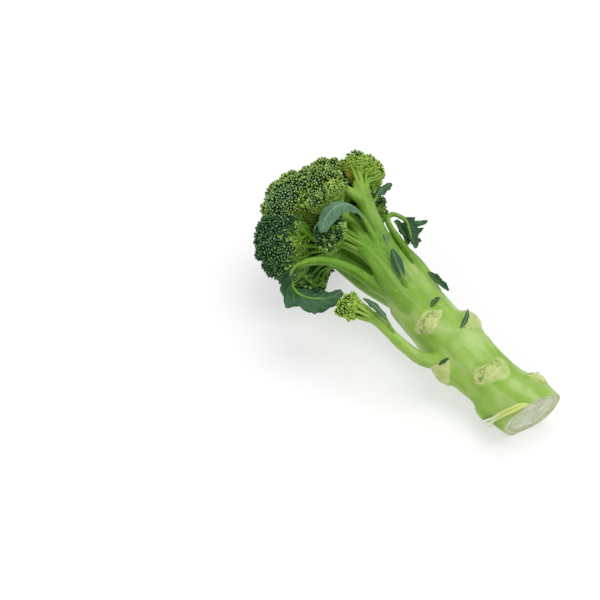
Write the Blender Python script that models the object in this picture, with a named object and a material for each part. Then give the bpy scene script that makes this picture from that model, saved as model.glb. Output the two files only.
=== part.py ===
"""A head of broccoli as picked, lying on its side on a flat surface.

The plant is modelled upright in its own frame, in millimetres: the middle of the cut end is the origin,
+Z is the way it grew, +X is its right and -Y its front. It is then laid down and turned into metres.

The stalk with its branches and leaf stalks is one grown piece. Each bunch of flower buds sits on the end
of one branch, and is a dome covered with buds, larger than life. Leaf blades are thin and waved.
"""

import math

import bmesh
import bpy
import numpy as np
from mathutils import Matrix

MM = 0.001
GAP = 0.3  # between pieces that touch
SPECK = 0.0001  # points closer than this are one

# How the plant lies: turned about its own length, then tipped over, with its crown a little higher than its foot
ROLL = 54.7
TILT = 9.6
FLOOR = -21.0  # the surface it lies on, as a height in the lying plant's frame

# The main stem's rings: height, offset to the right, offset to the back, radius
STEM = (
    (-16.0, -4.6, 0.0, 17.6),
    (-5.0, -5.2, 0.0, 18.4),
    (5.0, -6.0, 0.0, 19.4),
    (13.0, -6.8, 0.0, 18.0),
    (22.0, -7.1, 0.0, 16.9),
    (32.0, -6.8, 0.0, 16.8),
    (46.0, -6.0, 0.0, 17.7),
    (60.0, -4.8, 0.0, 17.5),
    (75.0, -3.8, 0.0, 16.5),
    (90.0, -2.0, 0.0, 16.0),
    (105.0, 0.5, 0.5, 15.2),
    (118.0, 2.0, 1.0, 12.0),
    (130.0, 3.0, 1.5, 7.0),
)
STEM_SIDES = 26
STEM_RINGS = 27
CUT_AT = (-5.2, 0.0, -5.0)  # the cut across the foot, a little off square
CUT_NORMAL = (0.22, 0.08, 1.0)

# Scars where leaves were cut off: height, bearing round the stem, half width, half height, how far they stand out
SCARS = (
    (26.0, -79.0, 12.0, 9.0, 1.5),
    (76.5, -97.0, 11.0, 7.5, 1.8),
    (51.5, -157.0, 9.0, 8.0, 4.6),
    (61.0, -17.0, 8.5, 7.5, 5.0),
    (6.5, -17.0, 7.0, 5.5, 2.6),
    (16.5, -172.0, 6.5, 6.0, 3.6),
    (36.0, 84.0, 10.0, 8.0, 2.0),
    (84.0, 62.0, 9.0, 8.0, 2.2),
    (70.0, 160.0, 8.0, 8.0, 2.0),
)

# Bunches: where the middle of the dome is, its radius, the way it faces, and the points that its branch
# passes on the way up from the stem, each with the branch's radius there
BUNCHES = {
    "bunch_left": ((-25, -10, 182.5), 24.5, (-0.55, -0.20, 0.75), (((-3, 0, 112), 9.0), ((-8, -5, 137), 6.0))),
    "bunch_upper_left": ((-4.7, -4.7, 196.1), 25.3, (-0.25, -0.15, 0.95), (((0, 1, 112), 9.0), ((-2, -1, 145), 8.2))),
    "bunch_upper_right": ((16.1, 5.6, 195.6), 22.0, (0.30, 0.10, 0.95), (((3, 2, 112), 9.0), ((9, 4, 145), 7.8))),
    "bunch_right": ((35.5, 4, 186), 16.4, (0.36, 0.60, 0.72), (((3, -5, 96), 9.0), ((9, -8, 118), 7.2), ((17.5, -8.8, 146), 6.1))),
    "bunch_front": ((-3, -27, 157), 12.5, (-0.35, -0.65, 0.65), (((-4, -5, 84), 10.0), ((-2.5, -12, 106), 8.2), ((2.0, -18, 130), 6.2))),
    "bunch_front_right": ((11, -18, 185), 18.0, (0.15, -0.45, 0.85), (((1, -8, 108), 7.5), ((5.5, -15, 136), 4.6), ((8.5, -16.5, 155), 4.2))),
    "bunch_back_right": ((21, 25, 175.5), 16.0, (0.45, 0.60, 0.65), (((8, 3, 96), 8.5), ((15.5, 5, 116), 6.8), ((17, 9.5, 140), 6.0))),
    "bunch_back": ((2, 38.8, 177), 22.2, (0.05, 0.75, 0.65), (((2, 6, 108), 9.0), ((3, 17, 136), 7.4))),
    "bunch_back_left": ((-29, 17.5, 178), 21.0, (-0.70, 0.30, 0.65), (((-5, 4, 108), 9.0), ((-12, 8, 136), 7.4))),
    "bunch_under": ((-15, 28, 186), 20.5, (-0.35, 0.60, 0.75), (((-3, 6, 112), 8.0), ((-7, 15, 142), 6.8))),
    "bunch_top_back": ((12, 27, 196), 20.0, (0.20, 0.50, 0.85), (((3, 5, 112), 8.0), ((7, 14, 142), 7.0))),
    "bunch_side_shoot": ((-29.6, -33, 113), 9.3, (-0.45, -0.25, 0.80), (((-17, -6, 56), 5.4), ((-24.0, -17, 63), 4.6), ((-25.5, -25, 76), 4.1), ((-25, -29, 90), 3.7))),
}
# How far the branch's end lies below the dome's middle, and the branch's radius there, of the dome's radius
NECK = (0.60, 0.36)
WIDE_NECKS = {
    "bunch_right": (0.44, 0.42),
    "bunch_front": (0.52, 0.46),
    "bunch_front_right": (0.55, 0.42),
    "bunch_side_shoot": (0.50, 0.56),
}
RIM_ANGLE = 102.0  # degrees from the dome's top down to its rim
BRANCH_SIDES = 10
BRANCH_RINGS = 5
BRANCH_CLEAR = 1.5  # from a dome to a branch that passes it

# Buds and the lumps that they are grouped in
BUD_SPACING = 4.6
BUD_RELIEF = 0.85
LUMP_SPACING = 13.0
LUMP_RELIEF = 2.0
ROUNDING = 3.0  # where two bunches press on each other
HIDDEN_SHARE = 5  # one bud in this many is kept where a bunch is hidden by its neighbours

# Leaf stalks that stay on the plant: points with radii
LEAF_STALKS = {
    "leaf_under": (((-6, -6, 106), 5.2), ((-9.5, -13, 120), 4.2), ((-12, -23, 134), 3.4), ((-18, -30.5, 146), 3.0),
                   ((-25.5, -34, 153.5), 2.6), ((-31.5, -35, 156.5), 2.1)),
    "leaf_right": (((9, 0, 100), 3.8), ((15.5, 0.5, 112), 3.2), ((20, 0.5, 126), 2.6), ((22.8, 0.5, 139), 2.3), ((25.5, 1, 147.3), 2.1),
                   ((29, 2, 150.3), 2.0), ((32.3, 3, 148.3), 1.8), ((33.6, 4, 143.8), 1.6)),
    "leaf_tongue": (((8, -12, 130), 2.8), ((13, -17.5, 142), 2.3), ((16.2, -22.4, 150.6), 1.9)),
}

# Leaf blades: the midrib's points, the way the blade spreads at its foot and at its tip, half width on either side,
# how far its edges rise, the number and depth of its lobes, and the height of its waves
BLADES = {
    "leaf_under": {
        "rib": ((-32.8, -35.2, 157.0), (-38.5, -35.6, 156.6), (-43.5, -36, 151.5), (-45, -36, 144), (-42, -34.5, 136),
                (-35, -31, 129.5), (-26, -27, 127)),
        "side": ((0.0, -0.6, -0.8), (-0.75, -0.2, -0.65)), "half": (11.0, 13.5), "cup": 0.25, "lobes": (5, 0.30), "wave": 1.6,
    },
    "leaf_right": {
        "rib": ((33.8, 4.3, 142.9), (32.9, 4.9, 138.4), (30.2, 4.8, 133.5), (27.0, 4.0, 128.0), (24.6, 3.3, 122.5)),
        "side": ((0.665, 0.332, -0.669), (0.665, 0.332, -0.669)), "half": (3.2, 10.5), "cup": 0.15, "lobes": (3, 0.55), "wave": 0.8,
    },
    "leaf_right_upper": {
        "rib": ((33.7, 5.0, 167.2), (37.4, 5.9, 168.0), (42.0, 7.3, 167.8), (46.5, 8.4, 166.8)),
        "side": ((0.5, 0.0, -0.8), (0.5, 0.0, -0.8)), "half": (4.2, 4.2), "cup": 0.2, "lobes": (2, 0.18), "wave": 0.6,
    },
    "leaf_tongue": {
        "rib": ((16.6, -23.4, 151.8), (17.5, -30, 157.5), (13.5, -37.5, 161.5), (5, -42, 161.5), (-2, -43.5, 159), (-7, -43, 156)),
        "side": ((0.2, 0.1, 1.0), (-0.3, 0.1, 1.0)), "half": (6.0, 6.0), "cup": 0.3, "lobes": (0, 0.0), "wave": 0.4,
    },
    "leaf_fork": {
        "rib": ((5.0, -20.5, 106.0), (8.0, -21.5, 112.0), (10.8, -21.5, 118.0), (13.5, -20.5, 124.0)),
        "side": ((0.9, 0.1, -0.4), (0.9, 0.1, -0.4)), "half": (3.2, 3.2), "cup": 0.3, "lobes": (0, 0.0), "wave": 0.2,
    },
    "leaf_stem_right": {
        "rib": ((18.3, -0.8, 103.5), (17.6, -1.3, 97.5), (17.3, -2.0, 91.0), (17.6, -2.6, 85.0)),
        "side": ((1.0, 0.3, 0.0), (1.0, 0.2, 0.0)), "half": (1.2, 4.2), "cup": 0.3, "lobes": (2, 0.3), "wave": 0.5,
    },
    "leaf_side_shoot": {
        "rib": ((-21.0, -33.5, 89.0), (-19.5, -36.0, 96.5), (-19.5, -37.5, 103.0), (-20.5, -37.5, 109.0)),
        "side": ((0.8, 0.2, 0.2), (0.8, 0.2, 0.3)), "half": (2.6, 2.6), "cup": 0.25, "lobes": (3, 0.3), "wave": 0.5,
    },
}
BLADE_THICK = 0.8
BLADE_LONG = 13
BLADE_ACROSS = 4

# Colours: red, green, blue, as Blender's linear values, with roughness
STALK_LOOK = ((0.245, 0.430, 0.075, 1.0), 0.45)
BUD_LOOK = ((0.045, 0.125, 0.030, 1.0), 0.60)
LEAF_LOOK = ((0.035, 0.135, 0.055, 1.0), 0.50)


def unit(vector):
    vector = np.asarray(vector, float)
    return vector / np.linalg.norm(vector, axis=-1, keepdims=True)


def smooth_min(a, b, width):
    """The lower of a and b, rounded over width where they meet and never above either."""
    return np.minimum(a, b) - np.maximum(width - np.abs(a - b), 0) ** 2 / (4 * width)


def curve_through(points, count):
    """count points evenly spread in parameter on a Catmull-Rom curve through the given rows of numbers."""
    points = np.asarray(points, float)
    ends = np.vstack([2 * points[0] - points[1], points, 2 * points[-1] - points[-2]])
    at = np.linspace(0, len(points) - 1, count)
    i = np.minimum(at.astype(int), len(points) - 2)
    t = (at - i)[:, None]
    a, b, c, d = (ends[i + k] for k in range(4))
    return 0.5 * (2 * b + (c - a) * t + (2 * a - 5 * b + 4 * c - d) * t**2 + (3 * b - a - 3 * c + d) * t**3)


def fibonacci_directions(count):
    """Directions spread evenly over a sphere."""
    i = np.arange(count) + 0.5
    height = 1 - 2 * i / count
    turn = i * math.pi * (3 - math.sqrt(5))
    flat = np.sqrt(1 - height**2)
    return np.stack([flat * np.cos(turn), flat * np.sin(turn), height], axis=1)


def frame_along(axis):
    """Two directions square to axis and to each other."""
    axis = unit(axis)
    helper = np.array([1.0, 0, 0]) if abs(axis[0]) < 0.8 else np.array([0, 1.0, 0])
    first = unit(np.cross(axis, helper))
    return first, np.cross(axis, first)


def laid_down():
    """The matrix from the upright plant's frame to its lying one."""
    return np.array(Matrix.Rotation(math.radians(TILT - 90), 3, "Y") @ Matrix.Rotation(math.radians(ROLL), 3, "Z"))


def material(name, look):
    made = bpy.data.materials.new(name)
    made.use_nodes = True
    shader = made.node_tree.nodes["Principled BSDF"]
    shader.inputs["Base Color"].default_value = look[0]
    shader.inputs["Roughness"].default_value = look[1]
    return made


def mesh_object(name, vertices, faces, look):
    """An object in the scene from points in the plant's frame."""
    mesh = bpy.data.meshes.new(name)
    mesh.from_pydata([tuple(v) for v in vertices], [], [tuple(f) for f in faces])
    mesh.materials.append(look)
    made = bpy.data.objects.new(name, mesh)
    bpy.context.scene.collection.objects.link(made)
    return made


def tube(path, radii, sides, end_axis=None):
    """Vertices and faces of a closed tube along path; its last ring is square to end_axis."""
    path = np.asarray(path, float)
    tangents = unit(np.gradient(path, axis=0))
    if end_axis is not None:
        tangents[-1] = end_axis
    first, _ = frame_along(tangents[0])
    turn = np.linspace(0, 2 * math.pi, sides, endpoint=False)
    vertices, faces = [], []
    for point, tangent, radius in zip(path, tangents, radii):
        first = unit(first - tangent * (first @ tangent))
        second = np.cross(tangent, first)
        vertices.extend(point + radius * (math.cos(a) * first + math.sin(a) * second) for a in turn)
    for ring in range(len(path) - 1):
        for k in range(sides):
            a, b = ring * sides + k, ring * sides + (k + 1) % sides
            faces.append((a, b, b + sides, a + sides))
    faces.append(tuple(range(sides - 1, -1, -1)))
    faces.append(tuple(range(len(vertices) - sides, len(vertices))))
    return vertices, faces


def stem_solid():
    """The main stem, with a mound under each leaf scar, before its foot is cut."""
    rings = curve_through(STEM, STEM_RINGS)
    turn = np.linspace(0, 2 * math.pi, STEM_SIDES, endpoint=False)
    height, bearing = np.meshgrid(rings[:, 0], turn, indexing="ij")
    radius = np.repeat(rings[:, 3:4], STEM_SIDES, axis=1) + 0.5 * np.cos(5 * bearing + 0.03 * height)
    for at, scar_bearing, wide, tall, out in SCARS:
        across = (bearing - math.radians(scar_bearing) + math.pi) % (2 * math.pi) - math.pi
        away = (across * radius / wide) ** 2 + ((height - at) / tall) ** 2
        radius = radius + out * np.exp(-(away**2) * 0.7)
    x = rings[:, 1:2] + radius * np.cos(bearing)
    y = rings[:, 2:3] + radius * np.sin(bearing)
    vertices = np.stack([x, y, height], axis=-1).reshape(-1, 3)
    faces = []
    for ring in range(STEM_RINGS - 1):
        for k in range(STEM_SIDES):
            a, b = ring * STEM_SIDES + k, ring * STEM_SIDES + (k + 1) % STEM_SIDES
            faces.append((a, b, b + STEM_SIDES, a + STEM_SIDES))
    faces.append(tuple(range(STEM_SIDES - 1, -1, -1)))
    faces.append(tuple(range(len(vertices) - STEM_SIDES, len(vertices))))
    return vertices, faces


def branch_knots(name):
    """The points and radii of a bunch's branch, from inside the stem to just short of its dome."""
    middle, radius, facing, points = BUNCHES[name]
    drop, width = WIDE_NECKS.get(name, NECK)
    facing = unit(facing)
    end = np.asarray(middle, float) - facing * (radius * drop + GAP)
    swell = radius * width
    knots = [(*place, thick) for place, thick in points]
    knots.append((*(end - facing * 0.45 * radius), 0.5 * (knots[-1][3] + swell) * 0.92))
    knots.append((*end, swell))
    return knots


def branch_solid(name):
    knots = branch_knots(name)
    rings = curve_through(knots, BRANCH_RINGS + 2 * len(knots) - 4)
    return tube(rings[:, :3], rings[:, 3], BRANCH_SIDES, unit(BUNCHES[name][2]))


def leaf_stalk_solid(points):
    knots = [(*place, thick) for place, thick in points]
    rings = curve_through(knots, 3 * len(points))
    return tube(rings[:, :3], rings[:, 3], 8)


def cut_foot(stalk):
    """Cuts the stem's foot off flat, a little off square."""
    mesh = bmesh.new()
    mesh.from_mesh(stalk.data)
    everything = mesh.verts[:] + mesh.edges[:] + mesh.faces[:]
    cut = bmesh.ops.bisect_plane(mesh, geom=everything, plane_co=CUT_AT, plane_no=CUT_NORMAL, clear_inner=True)
    rim = [e for e in cut["geom_cut"] if isinstance(e, bmesh.types.BMEdge)]
    bmesh.ops.contextual_create(mesh, geom=rim)
    bmesh.ops.recalc_face_normals(mesh, faces=mesh.faces)
    mesh.to_mesh(stalk.data)
    mesh.free()


def drop_folded_faces(mesh):
    """Takes out pairs of triangles that lie back to back on the same three points."""
    seen = {}
    for face in mesh.faces:
        seen.setdefault(frozenset(v.index for v in face.verts), []).append(face)
    folded = [face for twins in seen.values() if len(twins) == 2 for face in twins]
    bmesh.ops.delete(mesh, geom=folded, context="FACES_ONLY")
    bmesh.ops.delete(mesh, geom=[e for e in mesh.edges if not e.link_faces], context="EDGES")
    bmesh.ops.delete(mesh, geom=[v for v in mesh.verts if not v.link_faces], context="VERTS")


def build_stalk(look):
    """The stem, its branches and its leaf stalks, joined into one grown piece."""
    stalk = mesh_object("stalk", *stem_solid(), look)
    cut_foot(stalk)
    grown = bpy.data.collections.new("grown_from_the_stem")
    solids = [branch_solid(name) for name in BUNCHES]
    solids += [leaf_stalk_solid(points) for points in LEAF_STALKS.values()]
    for number, (vertices, faces) in enumerate(solids):
        piece = mesh_object(f"grown_{number}", vertices, faces, look)
        bpy.context.scene.collection.objects.unlink(piece)
        grown.objects.link(piece)
    union = stalk.modifiers.new("join", "BOOLEAN")
    union.operation = "UNION"
    union.operand_type = "COLLECTION"
    union.collection = grown
    union.solver = "EXACT"
    graph = bpy.context.evaluated_depsgraph_get()
    joined = bpy.data.meshes.new_from_object(stalk.evaluated_get(graph))
    stalk.modifiers.clear()
    stalk.data = joined
    for piece in list(grown.objects):
        bpy.data.objects.remove(piece)
    bpy.data.collections.remove(grown)
    mesh = bmesh.new()
    mesh.from_mesh(joined)
    bmesh.ops.triangulate(mesh, faces=mesh.faces)
    bmesh.ops.dissolve_degenerate(mesh, dist=SPECK, edges=mesh.edges)
    bmesh.ops.remove_doubles(mesh, verts=mesh.verts, dist=SPECK)
    bmesh.ops.triangulate(mesh, faces=mesh.faces)
    drop_folded_faces(mesh)
    mesh.to_mesh(joined)
    mesh.free()
    return stalk


def lump_directions(number, radius):
    """Where the lumps of one dome stand, nearly even and a little off it."""
    draw = np.random.default_rng(40 + number)
    count = max(6, int(4 * math.pi * radius**2 / (0.866 * LUMP_SPACING**2)))
    directions = fibonacci_directions(count)
    return unit(directions + draw.normal(0, 0.10, directions.shape))


def dome_reach(number, directions):
    """How far bunch number reaches along each direction from its middle, without buds, and how bare it lies, 0 to 1."""
    names = list(BUNCHES)
    middle, radius, facing, _ = BUNCHES[names[number]]
    middle, facing = np.asarray(middle, float), unit(facing)
    along = directions @ facing
    across = np.sqrt(np.maximum(1 - along**2, 0))
    nearest = (directions @ lump_directions(number, radius).T).max(axis=1)
    spread = LUMP_SPACING / radius
    lump = 1 - np.minimum(np.arccos(np.clip(nearest, -1, 1)) / (0.62 * spread), 1) ** 2
    reach = radius + LUMP_RELIEF * (lump - 0.6)
    rim = math.radians(RIM_ANGLE)
    drop, neck = (radius * share for share in WIDE_NECKS.get(names[number], NECK))
    edge = np.array([radius * math.sin(rim), radius * math.cos(rim)])
    slope = np.array([edge[1] + drop, -(edge[0] - neck)])
    slope = unit(slope)
    lean = across * slope[0] + along * slope[1]
    level = edge @ slope
    cone = np.where(lean > 1e-6, level / np.maximum(lean, 1e-6), 1e3)
    reach = smooth_min(reach, cone, ROUNDING)
    free = reach.copy()
    for other, (place, size, _, _) in enumerate(BUNCHES.values()):
        apart = np.asarray(place, float) - middle
        distance = np.linalg.norm(apart)
        if other == number or distance > radius + size + 2 * ROUNDING:
            continue
        share = (distance**2 + radius**2 - size**2) / (2 * distance) - GAP / 2
        towards = directions @ (apart / distance)
        wall = np.where(towards > 1e-6, share / np.maximum(towards, 1e-6), 1e3)
        reach = smooth_min(reach, wall, ROUNDING)
    bare = np.clip(1 - (free - reach) / 1.5, 0, 1) * np.clip((along + 0.5) / 0.2, 0, 1)
    down = laid_down().T @ np.array([0, 0, -1.0])
    falling = directions @ down
    ground = np.where(falling > 1e-6, (-FLOOR - middle @ down) / np.maximum(falling, 1e-6), 1e3)
    bare = bare * np.clip((ground - reach) / 1.0, 0, 1)
    reach = np.minimum(reach, ground)
    neck_plane = np.where(along < -1e-6, drop / np.maximum(-along, 1e-6), 1e3)
    return np.minimum(np.minimum(reach, neck_plane), branch_limit(number, directions)), bare


def branch_limit(number, directions):
    """How far bunch number may reach before it meets a branch that carries another one."""
    names = list(BUNCHES)
    middle = np.asarray(BUNCHES[names[number]][0], float)
    limit = np.full(len(directions), 1e3)
    for name in names:
        if name == names[number]:
            continue
        rings = curve_through(branch_knots(name), 28)
        for place, thick in zip(rings[:, :3] - middle, rings[:, 3] + BRANCH_CLEAR):
            ahead = directions @ place
            inside = thick**2 - place @ place + ahead**2
            meets = (inside > 0) & (ahead > 0)
            limit = np.where(meets, np.minimum(limit, ahead - np.sqrt(np.maximum(inside, 0))), limit)
    return limit


def bud_directions(number):
    """One direction for each bud: close together where the dome lies bare, and few where neighbours hide it."""
    name = list(BUNCHES)[number]
    _, radius, facing, _ = BUNCHES[name]
    drop, width = WIDE_NECKS.get(name, NECK)
    spacing = min(BUD_SPACING, radius * 0.30)
    count = int(4 * math.pi * radius**2 / (0.866 * spacing**2))
    directions = fibonacci_directions(count)
    _, bare = dome_reach(number, directions)
    kept = (bare > 0.3) | (np.arange(count) % HIDDEN_SHARE == 0)
    first, second = frame_along(facing)
    turn = np.linspace(0, 2 * math.pi, BRANCH_SIDES, endpoint=False)
    ring = -unit(facing) * drop + width * (np.outer(np.cos(turn), first) + np.outer(np.sin(turn), second))
    neck = unit(ring)
    clear = (directions @ neck.T).max(axis=1) < math.cos(0.10)
    return np.vstack([directions[kept & clear], neck, -unit(facing)])


def bunch_solid(number):
    """One bunch: a low pyramid for each bud, from its tip down to the creases round it."""
    directions = bud_directions(number)
    hull = bmesh.new()
    for direction in directions:
        hull.verts.new(direction)
    bmesh.ops.convex_hull(hull, input=hull.verts)
    bmesh.ops.triangulate(hull, faces=hull.faces)
    hull.verts.index_update()
    hull.faces.index_update()
    tips = unit([v.co[:] for v in hull.verts])
    creases = unit([f.calc_center_median()[:] for f in hull.faces])
    faces = []
    for edge in hull.edges:
        for corner in edge.verts:
            for loop in edge.link_loops:
                if loop.vert is corner:
                    here = loop.face.index
                else:
                    there = loop.face.index
            faces.append((corner.index, len(tips) + there, len(tips) + here))
    hull.free()
    middle = np.asarray(list(BUNCHES.values())[number][0], float)
    tip_reach, tip_bare = dome_reach(number, tips)
    crease_reach, crease_bare = dome_reach(number, creases)
    radius = list(BUNCHES.values())[number][1]
    relief = min(BUD_RELIEF, 0.06 * radius)
    tip_reach = np.minimum(tip_reach + relief * tip_bare, wall_limit(number, tips))
    crease_reach = crease_reach - relief * crease_bare
    vertices = np.vstack([middle + tips * tip_reach[:, None], middle + creases * crease_reach[:, None]])
    return vertices, faces


def wall_limit(number, directions):
    """How far bunch number may reach before it meets the next one."""
    middle, radius, _, _ = list(BUNCHES.values())[number]
    limit = np.full(len(directions), 1e3)
    for other, (place, size, _, _) in enumerate(BUNCHES.values()):
        if other == number:
            continue
        apart = np.asarray(place, float) - np.asarray(middle, float)
        distance = np.linalg.norm(apart)
        share = (distance**2 + radius**2 - size**2) / (2 * distance) - GAP / 2
        towards = directions @ (apart / distance)
        limit = np.minimum(limit, np.where(towards > 1e-6, share / np.maximum(towards, 1e-6), 1e3))
    return limit


def blade_solid(rib, side, half, cup, lobes, wave):
    """A thin waved leaf blade along its midrib, the same triangles on both faces."""
    middle = curve_through(rib, BLADE_LONG)
    tangents = unit(np.gradient(middle, axis=0))
    share = np.linspace(0, 1, BLADE_LONG)
    sides = np.asarray(side[0], float) * (1 - share[:, None]) + np.asarray(side[1], float) * share[:, None]
    sides = unit(sides - tangents * np.sum(sides * tangents, axis=1, keepdims=True))
    normals = np.cross(tangents, sides)
    outline = np.sin(math.pi * np.clip(0.06 + 0.90 * share, 0, 1)) ** 0.75
    count, depth = lobes
    across = np.linspace(-1, 1, BLADE_ACROSS + 1)
    long_at, across_at = np.meshgrid(share, across, indexing="ij")
    phase = np.where(across_at < 0, 0.0, 0.45)
    notch = 1 - depth * np.abs(np.sin(math.pi * (count * long_at + phase))) ** 0.6 if count else 1.0
    notch = 1 - (1 - notch) * np.abs(across_at)
    width = np.where(across_at < 0, half[0], half[1]) * outline[:, None] * notch
    out = across_at * width
    lift = cup * np.abs(across_at) ** 1.5 * width
    lift += wave * np.abs(across_at) * outline[:, None] * np.sin(2 * math.pi * (2.4 * long_at + 0.3 * np.sign(across_at)))
    sheet = middle[:, None] + sides[:, None] * out[..., None] + normals[:, None] * lift[..., None]
    along = np.gradient(sheet, axis=0)
    over = np.gradient(sheet, axis=1)
    facing = unit(np.cross(along, over))
    thick = BLADE_THICK / 2 + 0.6 * np.exp(-((across_at / 0.18) ** 2)) * (1 - 0.7 * long_at)
    top = (sheet + facing * thick[..., None]).reshape(-1, 3)
    bottom = (sheet - facing * thick[..., None]).reshape(-1, 3)
    columns = BLADE_ACROSS + 1
    faces = []
    for i in range(BLADE_LONG - 1):
        for j in range(BLADE_ACROSS):
            a, b = i * columns + j, (i + 1) * columns + j
            faces.extend([(a, b, b + 1), (a, b + 1, a + 1)])
    under = [tuple(len(top) + v for v in reversed(face)) for face in faces]
    rim = [(i * columns, (i + 1) * columns) for i in range(BLADE_LONG - 1)]
    rim += [((BLADE_LONG - 1) * columns + j, (BLADE_LONG - 1) * columns + j + 1) for j in range(BLADE_ACROSS)]
    rim += [((i + 1) * columns + BLADE_ACROSS, i * columns + BLADE_ACROSS) for i in range(BLADE_LONG - 2, -1, -1)]
    rim += [(j + 1, j) for j in range(BLADE_ACROSS - 1, -1, -1)]
    edge = []
    for a, b in rim:
        edge.extend([(b, a, len(top) + a), (b, len(top) + a, len(top) + b)])
    return np.vstack([top, bottom]), faces + under + edge


def faces_outwards(made):
    """Turns the faces of a closed mesh so that they point out."""
    mesh = bmesh.new()
    mesh.from_mesh(made.data)
    bmesh.ops.triangulate(mesh, faces=mesh.faces)
    bmesh.ops.recalc_face_normals(mesh, faces=mesh.faces)
    if mesh.calc_volume(signed=True) < 0:
        bmesh.ops.reverse_faces(mesh, faces=mesh.faces)
    mesh.to_mesh(made.data)
    mesh.free()


def lay_on_the_surface(pieces):
    """Lays all the pieces down, flat where they touch, and puts the middle of the footprint at the origin."""
    lying = laid_down()
    placed = []
    for piece in pieces:
        points = np.array([v.co[:] for v in piece.data.vertices]) @ lying.T
        placed.append(points)
    everything = np.vstack(placed)
    shift = np.array([*(everything[:, :2].max(axis=0) + everything[:, :2].min(axis=0)) / 2, FLOOR])
    for piece, points in zip(pieces, placed):
        points[:, 2] = np.maximum(points[:, 2], FLOOR)
        piece.data.vertices.foreach_set("co", ((points - shift) * MM).ravel())
        piece.data.update()


def build():
    for old in list(bpy.data.objects):
        bpy.data.objects.remove(old)
    stalk_look = material("stalk", STALK_LOOK)
    bud_look = material("buds", BUD_LOOK)
    leaf_look = material("leaf", LEAF_LOOK)
    pieces = [build_stalk(stalk_look)]
    for number, name in enumerate(BUNCHES):
        pieces.append(mesh_object(name, *bunch_solid(number), bud_look))
    for name, blade in BLADES.items():
        pieces.append(mesh_object(name, *blade_solid(**blade), leaf_look))
    for piece in pieces:
        faces_outwards(piece)
    lay_on_the_surface(pieces)


build()
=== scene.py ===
"""A head of broccoli, as picked, lying on a pale floor.

The plant's own frame is upright and in millimetres: the middle of the cut end is the origin, +Z is the way
it grew, +X is its right and -Y its front. Everything is made there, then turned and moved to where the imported
solids lie.
"""

import itertools
import math

import bmesh
import bpy
import numpy as np
from mathutils import Matrix, Vector
from mathutils.kdtree import KDTree


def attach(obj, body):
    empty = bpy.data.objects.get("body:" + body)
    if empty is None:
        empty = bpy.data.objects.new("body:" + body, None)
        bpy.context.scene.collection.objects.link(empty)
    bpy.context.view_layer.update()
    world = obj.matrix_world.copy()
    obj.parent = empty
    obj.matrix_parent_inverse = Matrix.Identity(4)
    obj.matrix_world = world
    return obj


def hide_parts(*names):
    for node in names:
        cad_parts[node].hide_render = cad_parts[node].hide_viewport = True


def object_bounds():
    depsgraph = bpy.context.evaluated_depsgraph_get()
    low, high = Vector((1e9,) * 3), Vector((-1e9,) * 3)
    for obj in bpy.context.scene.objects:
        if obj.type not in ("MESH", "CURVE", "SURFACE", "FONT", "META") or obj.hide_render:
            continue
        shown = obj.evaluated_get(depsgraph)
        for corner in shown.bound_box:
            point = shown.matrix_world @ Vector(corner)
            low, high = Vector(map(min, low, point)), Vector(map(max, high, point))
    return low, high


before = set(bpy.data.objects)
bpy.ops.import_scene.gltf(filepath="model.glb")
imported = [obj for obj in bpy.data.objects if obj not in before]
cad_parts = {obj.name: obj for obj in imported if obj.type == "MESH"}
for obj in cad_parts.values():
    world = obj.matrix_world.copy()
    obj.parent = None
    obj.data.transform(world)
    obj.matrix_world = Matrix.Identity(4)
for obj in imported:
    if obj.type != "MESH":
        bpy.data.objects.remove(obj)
cad_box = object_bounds()

MM = 0.001
# the visual model keeps just inside the solids' box
HELD = np.array(cad_box) / MM + ((0.05, 0.05, 0.02), (-0.05, -0.05, -0.05))
GAP = 0.3
ROLL, TILT = 54.7, 9.6
LAID = Matrix.Rotation(math.radians(TILT - 90), 3, "Y") @ Matrix.Rotation(math.radians(ROLL), 3, "Z")
LYING = np.array(LAID)
FLOOR = -21.0
SHIFT = (-104.85436, -10.72506, FLOOR)

# The main stem's rings: height, offset to the right, offset to the back, radius
STEM = (
    (-16, -4.6, 0, 17.6), (-5, -5.2, 0, 18.4), (5, -6, 0, 19.4), (13, -6.8, 0, 18), (22, -7.1, 0, 16.9),
    (32, -6.8, 0, 16.8), (46, -6, 0, 17.7), (60, -4.8, 0, 17.5), (75, -3.8, 0, 16.5), (90, -2, 0, 16),
    (105, 0.5, 0.5, 15.2), (118, 2, 1, 12), (130, 3, 1.5, 7),
)
CUT_AT = (-5.2, 0.0, -5.0)
CUT_NORMAL = (0.22, 0.08, 1.0)

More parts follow.
